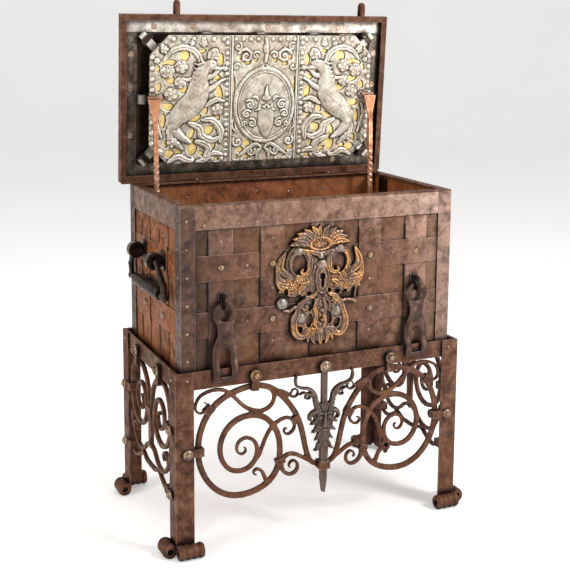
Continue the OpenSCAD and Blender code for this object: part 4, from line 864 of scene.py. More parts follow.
def line_tree():
    """A ragged dark bead, a painted shadow line, along every edge of the mesh: a curve shifted by noise and
    swept round.
    """
    tree, given = open_tree("ragged_lines", (("Step", "Float", 0.007), ("Radius", "Float", 0.0013),
                                             ("Wander", "Float", 0.0016)))
    curve = node(tree, "GeometryNodeMeshToCurve")
    link(tree, given.outputs["Geometry"], curve.inputs[0])
    fine = node(tree, "GeometryNodeResampleCurve", mode="LENGTH")
    link(tree, curve.outputs[0], fine.inputs["Curve"])
    link(tree, given.outputs["Step"], fine.inputs["Length"])
    noise = node(tree, "ShaderNodeTexNoise", Scale=55.0, Detail=3.0)
    centred = node(tree, "ShaderNodeVectorMath", operation="SUBTRACT")
    centred.inputs[1].default_value = (0.5, 0.5, 0.5)
    link(tree, noise.outputs["Color"], centred.inputs[0])
    scaled = node(tree, "ShaderNodeVectorMath", operation="SCALE")
    link(tree, centred.outputs[0], scaled.inputs[0])
    link(tree, given.outputs["Wander"], scaled.inputs["Scale"])
    moved = node(tree, "GeometryNodeSetPosition")
    link(tree, fine.outputs[0], moved.inputs["Geometry"])
    link(tree, scaled.outputs[0], moved.inputs["Offset"])
    ring = node(tree, "GeometryNodeCurvePrimitiveCircle", Resolution=8)
    link(tree, given.outputs["Radius"], ring.inputs["Radius"])
    swept = node(tree, "GeometryNodeCurveToMesh")
    swept.inputs["Fill Caps"].default_value = True
    link(tree, moved.outputs[0], swept.inputs["Curve"])
    link(tree, ring.outputs[0], swept.inputs["Profile Curve"])
    return close_tree(tree, given, swept.outputs[0])


def make_seam_shadows():
    """A ragged dark line of painted shadow beside each upright strap. At the front the escutcheon hides the
    middle one.
    """
    low, high, half = 509.0, 856.0, 35.4
    front, side = WALL_Y + STRAP_LIFT, WALL_X + STRAP_LIFT
    lines = [((col - half, -front, low), (col - half, -front, high)) for col in (-296, -148, 148, 296)]
    lines += [((-half, -front, low), (-half, -front, 536)), ((-half, -front, 838), (-half, -front, high))]
    lines += [((col + half, front, low), (col + half, front, high)) for col in (-296, -148, 0, 148, 296)]
    lines += [((s * side, y + half, low), (s * side, y + half, high)) for s in (-1, 1) for y in (-80, 80)]
    verts = [[c * MM for c in end] for line in lines for end in line]
    piece = mesh_object("seam_gaps", verts, edges=[(2 * k, 2 * k + 1) for k in range(len(lines))])
    with_nodes(piece, line_tree(), Material=SEAM_SHADOW)
    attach(piece, BASE)


# Front and back straps darken towards the left end as painted shade and lighten towards the right as a
# painted sheen.
STRAP = forged("brown_strap",
               [(0.031, 0.0115, 0.0055), (0.086, 0.034, 0.018), (0.138, 0.062, 0.036), (0.205, 0.106, 0.068)],
               (0.5, 0.35, 0.27), (0.14, 0.048, 0.02), (0.38, 0.6), metallic=0.35, patch=0.4, specular=0.4,
               painted_light_along_x=[((0.045, 0.022, 0.014), -0.2, -0.5), ((0.26, 0.15, 0.11), 0.1, 0.5)])
SIDE = forged("side_iron",
              [(0.045, 0.0145, 0.005), (0.14, 0.043, 0.0145), (0.222, 0.077, 0.0275), (0.305, 0.124, 0.05)],
              (0.52, 0.33, 0.2), (0.24, 0.084, 0.026), (0.42, 0.62), metallic=0.1, patch=0.6, specular=0.16)
# The corner strips lighten towards the right as a painted sheen.
CORNER = forged("corner_iron",
                [(0.013, 0.006, 0.004), (0.042, 0.019, 0.011), (0.078, 0.037, 0.023), (0.125, 0.068, 0.046)],
                (0.5, 0.36, 0.28), (0.1, 0.038, 0.018), (0.36, 0.55), metallic=0.4, patch=0.4,
                painted_light_along_x=[((0.26, 0.16, 0.12), -0.1, 0.42)])
# Painted highlight on the upper edges of the straps.
TOP_HIGHLIGHT = forged("rubbed_edge", [(0.16, 0.095, 0.07), (0.28, 0.19, 0.15), (0.42, 0.31, 0.26)],
                (0.66, 0.54, 0.47), (0.2, 0.09, 0.05), (0.3, 0.5), metallic=0.5, corner_shade=0.5)
# Painted shadow: near-black tone for the upright strap edges and the lines beside the straps.
SEAM_SHADOW = forged("seam_soot", [(0.003, 0.002, 0.002), (0.008, 0.005, 0.004), (0.016, 0.01, 0.008)],
              (0.05, 0.03, 0.024), (0.01, 0.006, 0.004), (0.6, 0.8), metallic=0.0)
STRAPS = {"front_straps": STRAP, "back_straps": STRAP, "left_straps": SIDE, "right_straps": SIDE,
          "corner_strips": CORNER}
for name, metal in STRAPS.items():
    coat((name,), metal)
    dress_straps(name)
ease(STRAPS, BAR_EDGE, segments=1, clamp=True)
make_seam_shadows()


# Studs and rivets of the chest
# Big domed iron studs pin the crossings of the straps and small rivets hold the plates. Their shanks are
# hammered over, and inside the back plate one row of them shows as heads. The places are read from the CAD.
LOW_HEAD, LOW_HEAD_WIDER, LOW_HEAD_HIGHER = 0.0005, 1.9, 1.2


def head_places(name):
    """World place, outward direction, radius and height of each head of a node."""
    made = bmesh.new()
    made.from_mesh(nodes[name].data)
    bmesh.ops.remove_doubles(made, verts=made.verts, dist=SAME_PLACE)
    made.faces.ensure_lookup_table()
    seen, heads = set(), []
    for first in made.faces:
        if first.index in seen:
            continue
        seen.add(first.index)
        island, edge = [], [first]
        while edge:
            face = edge.pop()
            island.append(face)
            for side in face.edges:
                for other in side.link_faces:
                    if other.index not in seen:
                        seen.add(other.index)
                        edge.append(other)
        areas = {}
        for face in island:
            key = tuple(round(c, 2) for c in face.normal)
            areas[key] = areas.get(key, 0.0) + face.calc_area()
        out = -Vector(max(areas, key=areas.get)).normalized()
        points = [v.co for v in {v for face in island for v in face.verts}]
        levels = [p.dot(out) for p in points]
        low = min(levels)
        ring = [p for p, level in zip(points, levels) if level < low + 2e-5]
        centre = sum(ring, Vector()) / len(ring)
        heads.append((centre, out, max((p - centre).length for p in ring), max(levels) - low))
    made.free()
    return heads


def make_heads(name, seed):
    """Domes on the places of a node's heads. Low heads, which pin the lid's liner, are ringed and wider."""
    heads = head_places(name)
    low = [rise <= LOW_HEAD for place, out, radius, rise in heads]
    piece = mesh_object(name + "_heads", [h[0] for h in heads])
    store(piece, [h[1] for h in heads],
          [h[2] * (LOW_HEAD_WIDER if flat else 1.0) for h, flat in zip(heads, low)],
          [h[3] * (LOW_HEAD_HIGHER if flat else 1.0) for h, flat in zip(heads, low)],
          [int(not flat) for flat in low])
    with_nodes(piece, HEADS, Seed=seed, Material=STUD)
    swap(piece, name)


def make_inner_heads():
    """The uneven row of heads inside the back plate, below the rim."""
    row, radius, rise, gap = 898, 4.6 * MM, 2.4 * MM, 0.0001
    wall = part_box("chest_back")[0][1] - gap
    places = ((-345, 2), (-238, -4), (-122, 1), (-12, 4), (96, -3), (214, 2), (338, -1))
    spots = [(x * MM, wall, (row + up) * MM) for x, up in places]
    piece = mesh_object("inner_rivets", spots)
    store(piece, [(0, -1, 0)] * len(spots), [radius] * len(spots), [rise] * len(spots), [1] * len(spots))
    with_nodes(piece, HEADS, Seed=21, Material=STUD)
    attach(piece, BASE)


make_heads("chest_rivets", 0)
make_heads("strap_studs", 1)
make_inner_heads()


# Escutcheon
# Gilded cartouche of chased iron leafwork, pinned on the middle of the front round a false keyhole. It has
# a fan of leaves, two volutes round open eyes, leafy wings, balls, and curls below. The gilding is worn.
ESCUTCHEON_FACE = -225.0


def escutcheon_field():
    """The ornament in mm across and up, about the axis of the leafwork."""
    axis = -8
    u, v = np.meshgrid(np.linspace(-143, 127, 224), np.linspace(530, 877, 290))
    f = Relief(u, v, CUT_AWAY)
    # the solid ground: fan, shoulders, wings, waist and the two lower lobes
    for centre, radii, rise in (((-10, 822), (62, 30), 3.5), ((-66, 770), (46, 50), 4.0),
                                ((44, 768), (45, 48), 4.0), ((-74, 716), (60, 42), 5.0),
                                ((58, 714), (58, 42), 5.0), ((-8, 720), (52, 64), 5.0),
                                ((-8, 646), (64, 42), 4.5), ((-58, 604), (40, 46), 4.5),
                                ((36, 604), (38, 44), 4.5), ((-8, 574), (48, 30), 5.0)):
        f.boss(centre, radii, rise, 1.6, flat=0.4)
    for k in range(11):
        a = math.radians(172 - 16.4 * k)
        tip = (-9 + 92 * math.cos(a), 812 + 60 * math.sin(a))
        f.leaf((-9 + 30 * math.cos(a), 816 + 14 * math.sin(a)),
               tip, 21 if k % 2 else 25, 6.5, 0.1 * np.sign(math.cos(a)), 3.0, 4)
    f.boss((-9, 820), (38, 21), 5.5, 4.0, ring=0.62)
    f.stroke([(-66, 806), (-40, 799), (-9, 791), (24, 797), (52, 804)], [9, 15, 17, 15, 9],
             6.0, 4.0, groove=1.5)
    # wings: two big leaf lobes each side, flowers and lesser leaves chased on the body
    for s in (-1, 1):
        f.leaf((axis + s * 84, 728), (axis + s * 104, 806), 30, 5.5, -0.34 * s, 3.0, 3)
        f.leaf((axis + s * 88, 716), (axis + s * 130, 762), 28, 5.5, -0.3 * s, 3.0, 3)
        f.leaf((axis + s * 82, 706), (axis + s * 132, 722), 26, 5.0, -0.2 * s, 3.0, 3)
        f.leaf((axis + s * 78, 700), (axis + s * 126, 692), 22, 5.0, 0.12 * s, 3.0, 3)
        f.leaf((axis + s * 44, 744), (axis + s * 78, 700), 24, 4.5, 0.2 * s, 5.0, 4)
        f.leaf((axis + s * 34, 716), (axis + s * 66, 680), 20, 4.5, 0.2 * s, 5.0, 4)
        f.leaf((axis + s * 30, 690), (axis + s * 40, 660), 16, 4.5, 0.1 * s, 5.0, 3)
        for x, z, r in ((64, 722, 7), (86, 706, 6), (96, 728, 6), (50, 700, 5)):
            f.beads(6, (axis + s * x, z), (r, r), r * 0.62, 3.0, 6.6)
            f.boss((axis + s * x, z), (r * 0.55, r * 0.55), 4.0, 6.6)
    # the two eyed volutes
    for centre, radii, turn in (((-71, 766), (23, 29), 8), ((50, 764), (21, 27), -4)):
        f.sink(centre, radii, CUT_AWAY, turn)
    for s, x in ((-1, -71), (1, 50)):
        f.stroke([(x + s * 20, 742), (x + s * 27, 766), (x + s * 18, 792), (x - s * 4, 801),
                  (x - s * 26, 794)], [5, 9, 12, 14, 12], 6.5, 3.0, groove=1.4)
        f.stroke([(x - s * 22, 796), (x - s * 32, 782), (x - s * 31, 764), (x - s * 30, 748),
                  (x - s * 16, 738), (x - s * 4, 744), (x - s * 8, 752)], [10, 17, 20, 19, 16, 12, 7],
                 7.5, 3.5, groove=2.0)
        f.boss((x + s * 2, 802), (15, 12), 7.5, 3.5, mark=0.8)
    # keyhole plate with its tongue and beads
    f.boss((-3, 722), (22, 44), 4.6, 5.4, flat=0.35)
    f.boss((-3, 722), (22, 44), 6.0, 5.4, ring=0.78)
    f.boss((-3, 762), (17, 14), 7.0, 5.5, mark=0.7)
    f.boss((-8, 786), (10, 9), 8.0, 5.0, mark=0.9)
    for s in (-1, 1):
        f.stroke([(-3 + s * 16, 688), (-3 + s * 26, 676), (-3 + s * 44, 672), (-3 + s * 52, 660)],
                 [8, 13, 12, 6], 6.0, 5.0, groove=1.4)
    # lower body: leafy S curls, two lobes rolled round open eyes, a fan of tips below
    for centre, radii, turn in (((-111, 691), (6, 11), 10), ((-73, 674), (8, 8), 0), ((-42, 684), (7, 5), 20),
                                ((19, 688), (6, 5), 0), ((44, 683), (8, 5), -20), ((66, 680), (9, 6), 0),
                                ((94, 680), (5, 10), 5), ((-35, 650), (7, 17), -24),
                                ((-40, 607), (9, 19), -10), ((10, 650), (7, 10), 20),
                                ((17, 611), (10, 18), 8), ((-72, 583), (11, 10), 0),
                                ((44, 594), (9, 13), -24), ((-94, 640), (9, 10), 0), ((84, 636), (9, 10), 0)):
        f.sink(centre, radii, CUT_AWAY, turn)
    for s in (-1, 1):
        f.stroke([(axis + s * 40, 668), (axis + s * 62, 652), (axis + s * 70, 630), (axis + s * 78, 606),
                  (axis + s * 76, 580), (axis + s * 62, 564), (axis + s * 44, 566), (axis + s * 34, 580)],
                 [12, 18, 19, 20, 22, 22, 18, 10], 7.0, 4.0, groove=2.0)
        f.stroke([(axis + s * 8, 668), (axis + s * 16, 644), (axis + s * 12, 620), (axis + s * 16, 596),
                  (axis + s * 6, 580)], [9, 14, 13, 13, 8], 6.5, 4.5, groove=1.6)
        f.foliate((axis + s * 44, 646), 15, 90 + s * 40, -s * 1.3, 8, 4.5, 4.5, 5)
        for tip, width in (((axis + s * 16, 536), 17), ((axis + s * 38, 544), 17),
                           ((axis + s * 60, 556), 14)):
            f.leaf((axis + s * 14, 584), tip, width, 6.0, 0.18 * s, 3.5, 3)
    for x, z, r in ((-122, 662, 17), (-66, 616, 16), (42, 627, 16)):
        f.boss((x, z), (r, r), 10.5, 3.0, mark=1.0)
    f.boss((-3, 634), (7, 7), 8.5, 4.0, mark=0.6)
    f.boss((-3, 606), (6, 6), 8.0, 4.0)
    f.stroke([(-118, 642), (-100, 640), (-86, 648), (-66, 646)], [8, 13, 12, 8], 6.0, 3.0)
    f.stroke([(36, 655), (58, 655), (80, 656), (99, 650)], [12, 12, 10, 15], 6.0, 3.0)
    f.stroke([(98, 660), (103, 690), (116, 728)], [5, 7, 7], 5.0, 3.0)
    f.leaf((-8, 584), (-8, 535), 22, 6.5, 0.0, 4.0, 3)
    f.boss((-8, 574), (15, 12), 8.0, 4.0)
    f.waver(0.5, 0.42, 0.15, 0.36, 0.13)
    f.sink((-3, 729), (7.5, 8.5), CUT_AWAY)
    f.sink((-2.5, 711), (4.2, 13), CUT_AWAY)
    return f


CHASED_GILT = chased("chased_gilt", (0.012, 0.007, 0.004), (0.14, 0.062, 0.023), (0.51, 0.265, 0.108),
                     (0.6, 0.5, 0.45), rough=(0.5, 0.26), metallic=0.65, worn=(0.25, 0.155, 0.11),
                     bare=(0.27, 0.225, 0.19))
cartouche = relief_piece("escutcheon_relief", escutcheon_field(), front_place(ESCUTCHEON_FACE), cut=0.6,
                         back=0.0, material=CHASED_GILT)
swap(cartouche, "escutcheon")


# Hasps
# Two forged hasps of dark iron hang from ring staples on the front. They swing forwards and up, and their
# edges are worn bright and carry a painted highlight.
HASP_EDGE = 0.0014
# Strong edge tone: worn bright iron and a painted highlight on the rims.
HASP = forged("hasp_iron",
              [(0.011, 0.006, 0.0045), (0.04, 0.018, 0.012), (0.072, 0.036, 0.026), (0.115, 0.064, 0.05)],
              (0.62, 0.5, 0.44), (0.06, 0.024, 0.014), (0.28, 0.46), metallic=0.6, edge=0.95)
coat(("hasp_left", "hasp_right", "hasp_staples"), HASP)
ease(("hasp_left", "hasp_right"), HASP_EDGE)


# Drop handles
# On each side a bail with a ribbed grip hangs from two eyes whose shanks pass through the wall. The iron is
# black and polished by hands.
BLACK = forged("black_iron", [(0.006, 0.004, 0.003), (0.024, 0.014, 0.01), (0.06, 0.036, 0.024)],
               (0.34, 0.23, 0.16), (0.06, 0.028, 0.012), rough=(0.16, 0.36), metallic=0.75, edge=0.75)
coat(("handle_eyes", "handle_left", "handle_right"), BLACK)
ease(("handle_eyes",), BAR_EDGE, segments=1, clamp=True)


# Lid stays
# Two twisted copper-red bars turn on brackets inside the chest, and their forked heads hold the lid by
# the two ledges beside the lock.
COPPER = forged("copper_iron", [(0.21, 0.08, 0.036), (0.5, 0.22, 0.108), (0.74, 0.39, 0.215)],
                (0.88, 0.62, 0.46), (0.32, 0.12, 0.05), rough=(0.3, 0.48), metallic=0.45)
coat(("stay_left", "stay_right", "stay_ledges"), COPPER)
coat(("stay_brackets",), BLACK)


# Lid
# An iron plate under riveted straps, with a frame of flat bar under its edge, two strap hinges at the back,
# two stout padlock loops at the front and a turning cover over the keyhole. The lid stands open at rest, so
# what is added to it is given as on the shut lid and turned with it.
LID = "lid"
HINGE_Y, HINGE_Z = 254.0, 938.0
OPEN = math.radians(86)
LOOP_X, LOOP_STOUTER = (-0.264, 0.345), 1.5


def lid_place(x, y, z):
    """World mm of a point given on the shut lid, for the lid as it stands open at rest."""
    dy, dz = y - HINGE_Y, z - HINGE_Z
    return np.stack([x, HINGE_Y + dy * math.cos(OPEN) + dz * math.sin(OPEN),
                     HINGE_Z - dy * math.sin(OPEN) + dz * math.cos(OPEN)], -1)


def thicken_loops():
    """The two padlock loops are stouter across than the CAD has them."""
    piece = merged_copy("lid_loops")
    for vertex in piece.data.vertices:
        middle = LOOP_X[int(vertex.co.x >= 0)]
        vertex.co.x = middle + (vertex.co.x - middle) * LOOP_STOUTER
    swap(baked(piece), "lid_loops")


def make_rear_lip():
    """A narrow lip under the rear bar of the frame, between the hinges, closes the gap over the back."""
    lengths = ((-430, -252), (-192, 192), (252, 430))
    section = ((246.3, 929.6), (251.0, 929.6), (251.0, 933.4), (246.3, 934.4))
    sides = ((3, 2, 1, 0), (4, 5, 6, 7), (0, 1, 5, 4), (1, 2, 6, 5), (2, 3, 7, 6), (3, 0, 4, 7))
    verts, faces = [], []
    for ends in lengths:
        first = len(verts)
        verts += [lid_place(x, y, z) * MM for x in ends for y, z in section]
        faces += [[first + i for i in side] for side in sides]
    piece = mesh_object("lid_rear_lip", verts, faces)
    piece.data.materials.append(BROWN)
    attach(piece, LID)


coat(("lid_plate", "lid_frame", "lid_straps", "lid_loops", "lid_hinges", "hinge_straps", "keyhole_cover"),
     BROWN)
ease(("lid_frame", "lid_straps", "hinge_straps"), BAR_EDGE, segments=1, clamp=True)
make_heads("lid_rivets", 2)
thicken_loops()
make_rear_lip()


# Lid liner
# A grey sheet, pinned with low ringed heads, lines the lid round the lock. Along the front edge it is
# brighter.
BRIGHT_STRIP = 0.045
LINER = forged("grey_liner", [(0.035, 0.026, 0.017), (0.13, 0.105, 0.08), (0.3, 0.265, 0.22)],
               (0.5, 0.45, 0.39), (0.075, 0.05, 0.03), rough=(0.4, 0.6), patch=0.85)
LINER_FRONT = forged("grey_liner_front", [(0.27, 0.225, 0.18), (0.6, 0.55, 0.49), (0.82, 0.785, 0.72)],
                     (0.88, 0.85, 0.8), (0.34, 0.26, 0.19), rough=(0.35, 0.55), patch=0.5)
coat(("lid_liner",), LINER)
nodes["lid_liner"].data.materials.append(LINER_FRONT)
bright_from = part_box("lid_liner")[1][2] - BRIGHT_STRIP
for face in nodes["lid_liner"].data.polygons:
    face.material_index = int(face.center.z > bright_from)


# Lock
# A black base plate under the lid carries the guides, the turning thrower and the bright steel bolts that
# it draws: a bar of three at the front and at the back, one at each side and one at each corner.
STEEL = forged("bright_steel", [(0.34, 0.32, 0.28), (0.62, 0.595, 0.55), (0.8, 0.78, 0.73)],
               (0.82, 0.8, 0.76), (0.34, 0.29, 0.22), rough=(0.3, 0.5), metallic=0.75, patch=0.3)
coat(("lock_base", "lock_guides"), BLACK)
coat(("thrower", "front_bolts", "rear_bolts", "left_bolt", "right_bolt"), STEEL)
coat([f"corner_bolt_{end}_{side}" for end in ("front", "rear") for side in ("left", "right")], STEEL)


# Lock covers
# Three pierced and chased steel sheets over polished brass hide the lock. The side covers mirror each
# other: a smooth prancing beast among leaf balls and scrolls, with beads down the outer edge. The middle
# one has an oval medallion with a plain shield.
LOCK_BASE_Z, COVER_DROP, COVER_BACK, COVER_CUT = 945.4, 55.5, -3.6, 0.2
SIDE_FROM, SIDE_TO, CENTRE_HALF, COVER_HALF, CORNER_CUT = 110.15, 360.0, 109.85, 189.7, 58.0


def cover_place(u, v, h):
    """World mm on the covers of the open lid; v runs from the hinge to the front."""
    return lid_place(u, -v, LOCK_BASE_Z - COVER_DROP - h)


def cover_edge(v):
    """The outer edge of a side cover, with its two corners cut off."""
    return SIDE_TO - np.clip(np.abs(v) - (190.0 - CORNER_CUT), 0, CORNER_CUT)


def side_cover_field():
    """The right cover, in mm from the middle of the lid."""
    v = np.linspace(-COVER_HALF, COVER_HALF, 268)[:, None]
    s = np.linspace(0, 1, 176)[None, :]
    u = SIDE_FROM + s * (cover_edge(v) - SIDE_FROM)
    f = Relief(u, np.broadcast_to(v, u.shape).copy(), 0.8)
    # openings round the beast and among the leaves
    for centre, radii, turn in (((254, 129), (15, 19), 25), ((302, 109), (24, 10), -8),
                                ((298, 62), (20, 12), 30), ((259, 37), (15, 19), -40), ((250, 6), (10, 8), 0),
                                ((331, 39), (7, 13), 10), ((302, -18), (21, 11), 10),
                                ((141, 118), (9, 20), 0), ((154, 68), (9, 27), -48),
                                ((143, 18), (10, 24), -12), ((187, -33), (8, 12), 20),
                                ((217, -56), (20, 8), -28), ((149, -54), (8, 18), 0),
                                ((179, -93), (21, 13), -30), ((230, -100), (9, 17), 20),
                                ((226, -140), (16, 26), 8), ((163, -139), (9, 15), 12),
                                ((296, -158), (17, 12), 20), ((269, -153), (11, 9), 0),
                                ((196, -160), (15, 7), 20), ((157, -179), (17, 6), 0),
                                ((309, -128), (8, 12), 0), ((202, 142), (16, 6), -14),
                                ((318, -60), (8, 22), 4), ((330, -104), (6, 12), 0), ((334, 92), (6, 10), 0)):
        f.sink(centre, radii, COVER_BACK, turn)
    # leaf balls, ring of foliage and the thick curling leaves below
    f.stroke([(316, 118), (296, 142), (262, 154), (228, 146), (206, 120), (205, 92), (219, 70), (242, 60),
              (268, 64)], [10, 17, 20, 21, 21, 20, 18, 14, 7], 4.2, 1.0, groove=1.4, lobes=9)
    for centre, r, turn in (((264, 98), 21, 1), ((305, 84), 22, -1), ((266, 52), 19, -1), ((295, 18), 21, 1),
                            ((165, 131), 17, 1), ((150, -30), 19, -1), ((289, -124), 17, 1),
                            ((316, 148), 13, -1), ((330, 8), 11, 1), ((196, 166), 12, -1),
                            ((232, 166), 10, 1), ((326, -150), 12, -1), ((128, 92), 9, 1),
                            ((338, 116), 10, 1)):
        f.boss(centre, (r * 1.02, r * 0.96), 4.6, 1.0, flat=0.7)
        for k in range(5):
            a = math.radians(72 * k + 20 * turn + centre[0])
            tip = (centre[0] + r * 0.92 * math.cos(a + 0.5 * turn),
                   centre[1] + r * 0.92 * math.sin(a + 0.5 * turn))
            f.leaf((centre[0] + r * 0.2 * math.cos(a), centre[1] + r * 0.2 * math.sin(a)),
                   tip, r * 0.86, 4.4, 0.34 * turn, 2.2, 2)
        f.boss((centre[0] + r * 0.1, centre[1] + r * 0.1), (r * 0.3, r * 0.3), 3.0, 4.4)
    for path, widths in (
            ([(238, -68), (206, -84), (196, -108), (166, -122), (140, -112)], [14, 24, 26, 25, 10]),
            ([(196, -60), (164, -62), (138, -92), (140, -128)], [12, 25, 27, 12]),
            ([(216, -124), (194, -130), (175, -146), (188, -170)], [14, 25, 24, 10]),
            ([(300, -182), (272, -168), (248, -178), (226, -182)], [10, 22, 22, 10]),
            ([(186, -170), (158, -160), (132, -166)], [10, 20, 10]),
            ([(214, -184), (186, -180), (170, -172)], [8, 18, 8]),
            ([(181, 122), (174, 140), (158, 145), (150, 130)], [8, 15, 15, 8]),
            ([(300, -88), (294, -112), (274, -130), (256, -146)], [20, 24, 21, 8]),
            ([(332, -20), (340, -52), (332, -84), (322, -112)], [6, 12, 13, 6]),
            ([(128, -6), (150, 0), (168, -6), (186, -18)], [6, 16, 20, 12])):
        f.stroke(path, widths, 5.0, 1.2, groove=1.5, flat=0.55, lobes=5)
    # the prancing beast: haunch, body, neck, head and raised forelegs, smooth and high
    f.stroke([(192, 66), (168, 70), (153, 84), (136, 94)], [20, 17, 14, 9], 4.0, 1.6)
    f.stroke([(190, 26), (166, 36), (146, 52), (130, 60)], [22, 18, 14, 9], 4.4, 1.6)
    f.stroke([(288, -56), (284, -84), (262, -108), (234, -126)], [44, 36, 26, 12], 5.6, 1.6)
    f.stroke([(182, 100), (198, 88), (208, 60), (210, 30), (222, -2), (252, -30), (276, -52), (286, -74)],
             [34, 44, 60, 70, 70, 70, 58, 36], 7.0, 1.8, flat=0.45)
    f.boss((176, 102), (23, 17), 8.0, 1.8, turn=-14)
    f.stroke([(174, 98), (158, 94), (146, 92)], [24, 17, 10], 6.0, 1.8)
    f.stroke([(196, 108), (204, 120), (206, 130)], [12, 9, 4], 6.0, 1.8)
    for k in range(5):
        f.stroke([(196 + 3 * k, 112 - 13 * k), (212 + 3 * k, 104 - 13 * k), (224 + 2 * k, 108 - 13 * k)],
                 [6, 9, 3], 6.0, 2.6)
    f.sink((168, 107), (2.2, 1.8), 7.4)
    # bead rows and ribbed strip beside the seam
    for k in range(9):
        f.boss((352, -126 + 31.5 * k), (8, 8), 4.4, 0.8)
    for y in (178, -178):
        for k in range(6):
            f.boss((134 + 31 * k, y), (7.5, 7.5), 3.6, 0.8)
    for y in (-1, 1):
        f.boss((322, y * 158), (7, 7), 3.4, 0.8)
    for k in range(12):
        f.boss((122, -168 + 30.5 * k), (8, 7), 3.4, 0.8)
        f.stroke([(114, -154 + 30.5 * k), (122, -152 + 30.5 * k), (131, -154 + 30.5 * k)], [2, 3.5, 2],
                 1.6, 0.8)
    f.stroke([(112, -188), (112, 0), (112, 188)], [3.5, 3.5, 3.5], 2.0, 0.8)
    f.waver(0.22, 0.31, 0.11, 0.27, 0.09)
    return f


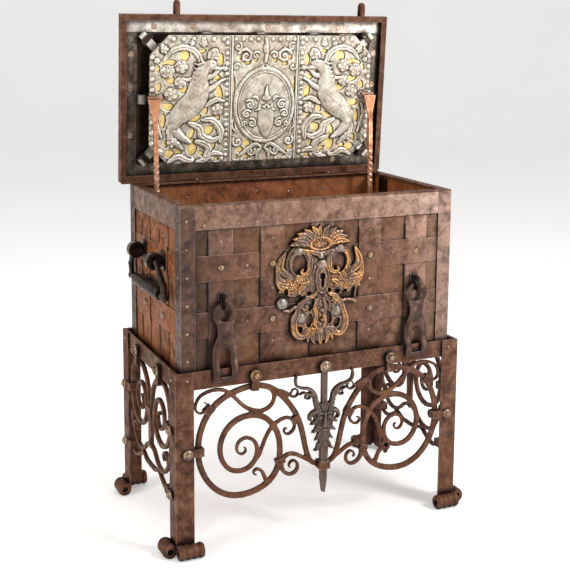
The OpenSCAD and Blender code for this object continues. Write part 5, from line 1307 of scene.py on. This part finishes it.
def centre_cover_field():
    """The middle cover: leafy scrolls in the corners round the medallion."""
    u, v = np.meshgrid(np.linspace(-CENTRE_HALF, CENTRE_HALF, 168), np.linspace(-COVER_HALF, COVER_HALF, 284))
    f = Relief(u, v, 0.8)
    middle, wide, tall = (2, -20), 94, 110
    for x, y, a, b, turn in ((-17, -156, 15, 8, 40), (-52, -135, 13, 13, 0), (-74, -154, 11, 9, 0),
                             (-52, -176, 13, 8, -20), (-88, -176, 8, 7, 0), (36, -156, 13, 7, -40),
                             (72, -170, 12, 7, 45), (90, -150, 13, 9, 0), (-56, 108, 12, 6, 20),
                             (64, 106, 12, 7, 0), (-80, 126, 6, 10, 10), (84, 126, 6, 10, 0),
                             (-30, 118, 7, 8, 30), (34, 116, 7, 8, -30), (-97, 40, 3.5, 26, 0),
                             (99, 42, 4, 26, 0), (-97, -88, 3.5, 20, 0), (96, -96, 3.5, 14, 0)):
        f.sink((x, y), (a, b), COVER_BACK, turn)
    for s in (-1, 1):
        f.foliate((s * 62, 128), 24, 90 - s * 70, s * 1.4, 11, 4.0, 1.0, 6)
        f.foliate((s * 30, 130), 13, 90 + s * 60, -s * 1.2, 8, 3.4, 1.0, 4)
        f.foliate((s * 88, 156), 13, 60, s * 1.2, 7, 3.0, 1.0, 4)
        f.foliate((s * 92, 96), 12, 20, -s * 1.2, 7, 3.0, 1.0, 3)
        f.foliate((s * 40, -160), 15, 90 + s * 70, s * 1.3, 9, 3.8, 1.0, 5)
        f.foliate((s * 84, -130), 16, 90 - s * 50, -s * 1.3, 10, 3.8, 1.0, 5)
        f.stroke([(s * 6, -148), (s * 22, -138), (s * 40, -146), (s * 60, -160), (s * 78, -172)],
                 [8, 13, 14, 13, 6], 4.0, 1.2, groove=1.2, lobes=4)
        f.leaf((s * 4, -150), (s * 20, -184), 15, 4.0, 0.2 * s, 1.0, 4)
        f.leaf((s * 4, 102), (s * 34, 92), 11, 3.4, -0.2 * s, 1.0, 3)
        f.leaf((s * 100, -60), (s * 84, -104), 9, 3.0, 0.2 * s, 1.0, 3)
        for k in range(4):
            f.boss((s * (24 + 24 * k), 178), (6.5, 6.5), 3.4, 0.8)
            f.boss((s * (20 + 24 * k), -184), (5.5, 5), 3.0, 0.8)
        f.stroke([(s * 106, -188), (s * 106, 0), (s * 106, 188)], [7, 7, 7], 2.6, 0.8, flat=0.3)
    f.stroke([(2, 180), (6, 150), (2, 112)], [9, 14, 10], 4.0, 1.2)
    f.boss((2, 150), (9, 16), 4.6, 1.2)
    # oval medallion with a corded ring, a plain shield and a drop boss among leaf scrolls
    f.boss(middle, (wide, tall), 2.0, 1.4, flat=0.3)
    f.boss(middle, (wide + 7, tall + 7), 3.4, 1.4, ring=0.87)
    f.beads(72, middle, (wide + 1, tall + 1), 3.2, 1.6, 4.0)
    f.boss(middle, (wide - 7, tall - 7), 3.0, 1.8, ring=0.955)
    f.stroke([(-62, -84), (-48, -101), (-28, -117)], [4, 9, 4], 2.4, 3.0)
    f.stroke([(48, -110), (60, -101), (72, -92)], [4, 8, 4], 2.4, 3.0)
    for s in (-1, 1):
        f.foliate((5 + s * 52, -18), 15, 90 - s * 40, s * 1.5, 8, 4.4, 3.0, 6)
        f.foliate((5 + s * 62, -46), 14, 90 + s * 60, -s * 1.4, 8, 4.4, 3.0, 6)
        f.foliate((5 + s * 44, -74), 14, 90 - s * 20, s * 1.4, 8, 4.4, 3.0, 6)
        f.foliate((5 + s * 70, -76), 10, 0, -s * 1.3, 6, 3.8, 3.0, 4)
        f.leaf((5 + s * 24, -6), (5 + s * 46, 4), 12, 4.4, 0.3 * s, 3.0, 4)
        f.leaf((5 + s * 20, -14), (5 + s * 36, -36), 11, 4.4, -0.3 * s, 3.0, 3)
    f.stroke([(7, -46), (7, -76), (7, -108)], [52, 54, 24], 4.0, 3.2, flat=0.4)
    f.boss((7, -28), (16, 11), 4.6, 3.2)
    f.boss((7, 2), (15, 11), 6.4, 3.2)
    f.stroke([(7, 6), (7, 22), (8, 40)], [17, 12, 3], 6.4, 3.2)
    f.stroke([(-9, -22), (7, -28), (23, -22)], [4, 6, 4], 3.0, 7.0)
    f.sink((7, -25), (3.0, 4.5), 3.4)
    f.waver(0.2, 0.31, 0.11, 0.27, 0.09)
    return f


def make_covers():
    """The left cover is the right one mirrored."""
    side = side_cover_field()
    mirrored = Relief(-side.u[:, ::-1], side.v[:, ::-1], 0)
    mirrored.h = side.h[:, ::-1]
    centre = centre_cover_field()
    for name, field in (("cover_left", mirrored), ("cover_centre", centre), ("cover_right", side)):
        piece = relief_piece(name + "_relief", field, cover_place, COVER_CUT, COVER_BACK, CHASED_STEEL)
        swap(piece, name)


BRASS = forged("brass_sheet", [(0.62, 0.43, 0.12), (0.9, 0.68, 0.26), (0.98, 0.82, 0.42)],
               (0.98, 0.85, 0.5), (0.6, 0.4, 0.13), rough=(0.35, 0.55), metallic=0.35, patch=0.3,
               corner_shade=0.25)
CHASED_STEEL = chased("chased_steel", (0.022, 0.015, 0.009), (0.32, 0.275, 0.21), (0.7, 0.655, 0.585),
                      (0.66, 0.53, 0.38), rough=(0.6, 0.4), metallic=0.5)
coat(("cover_backing",), BRASS)
make_covers()
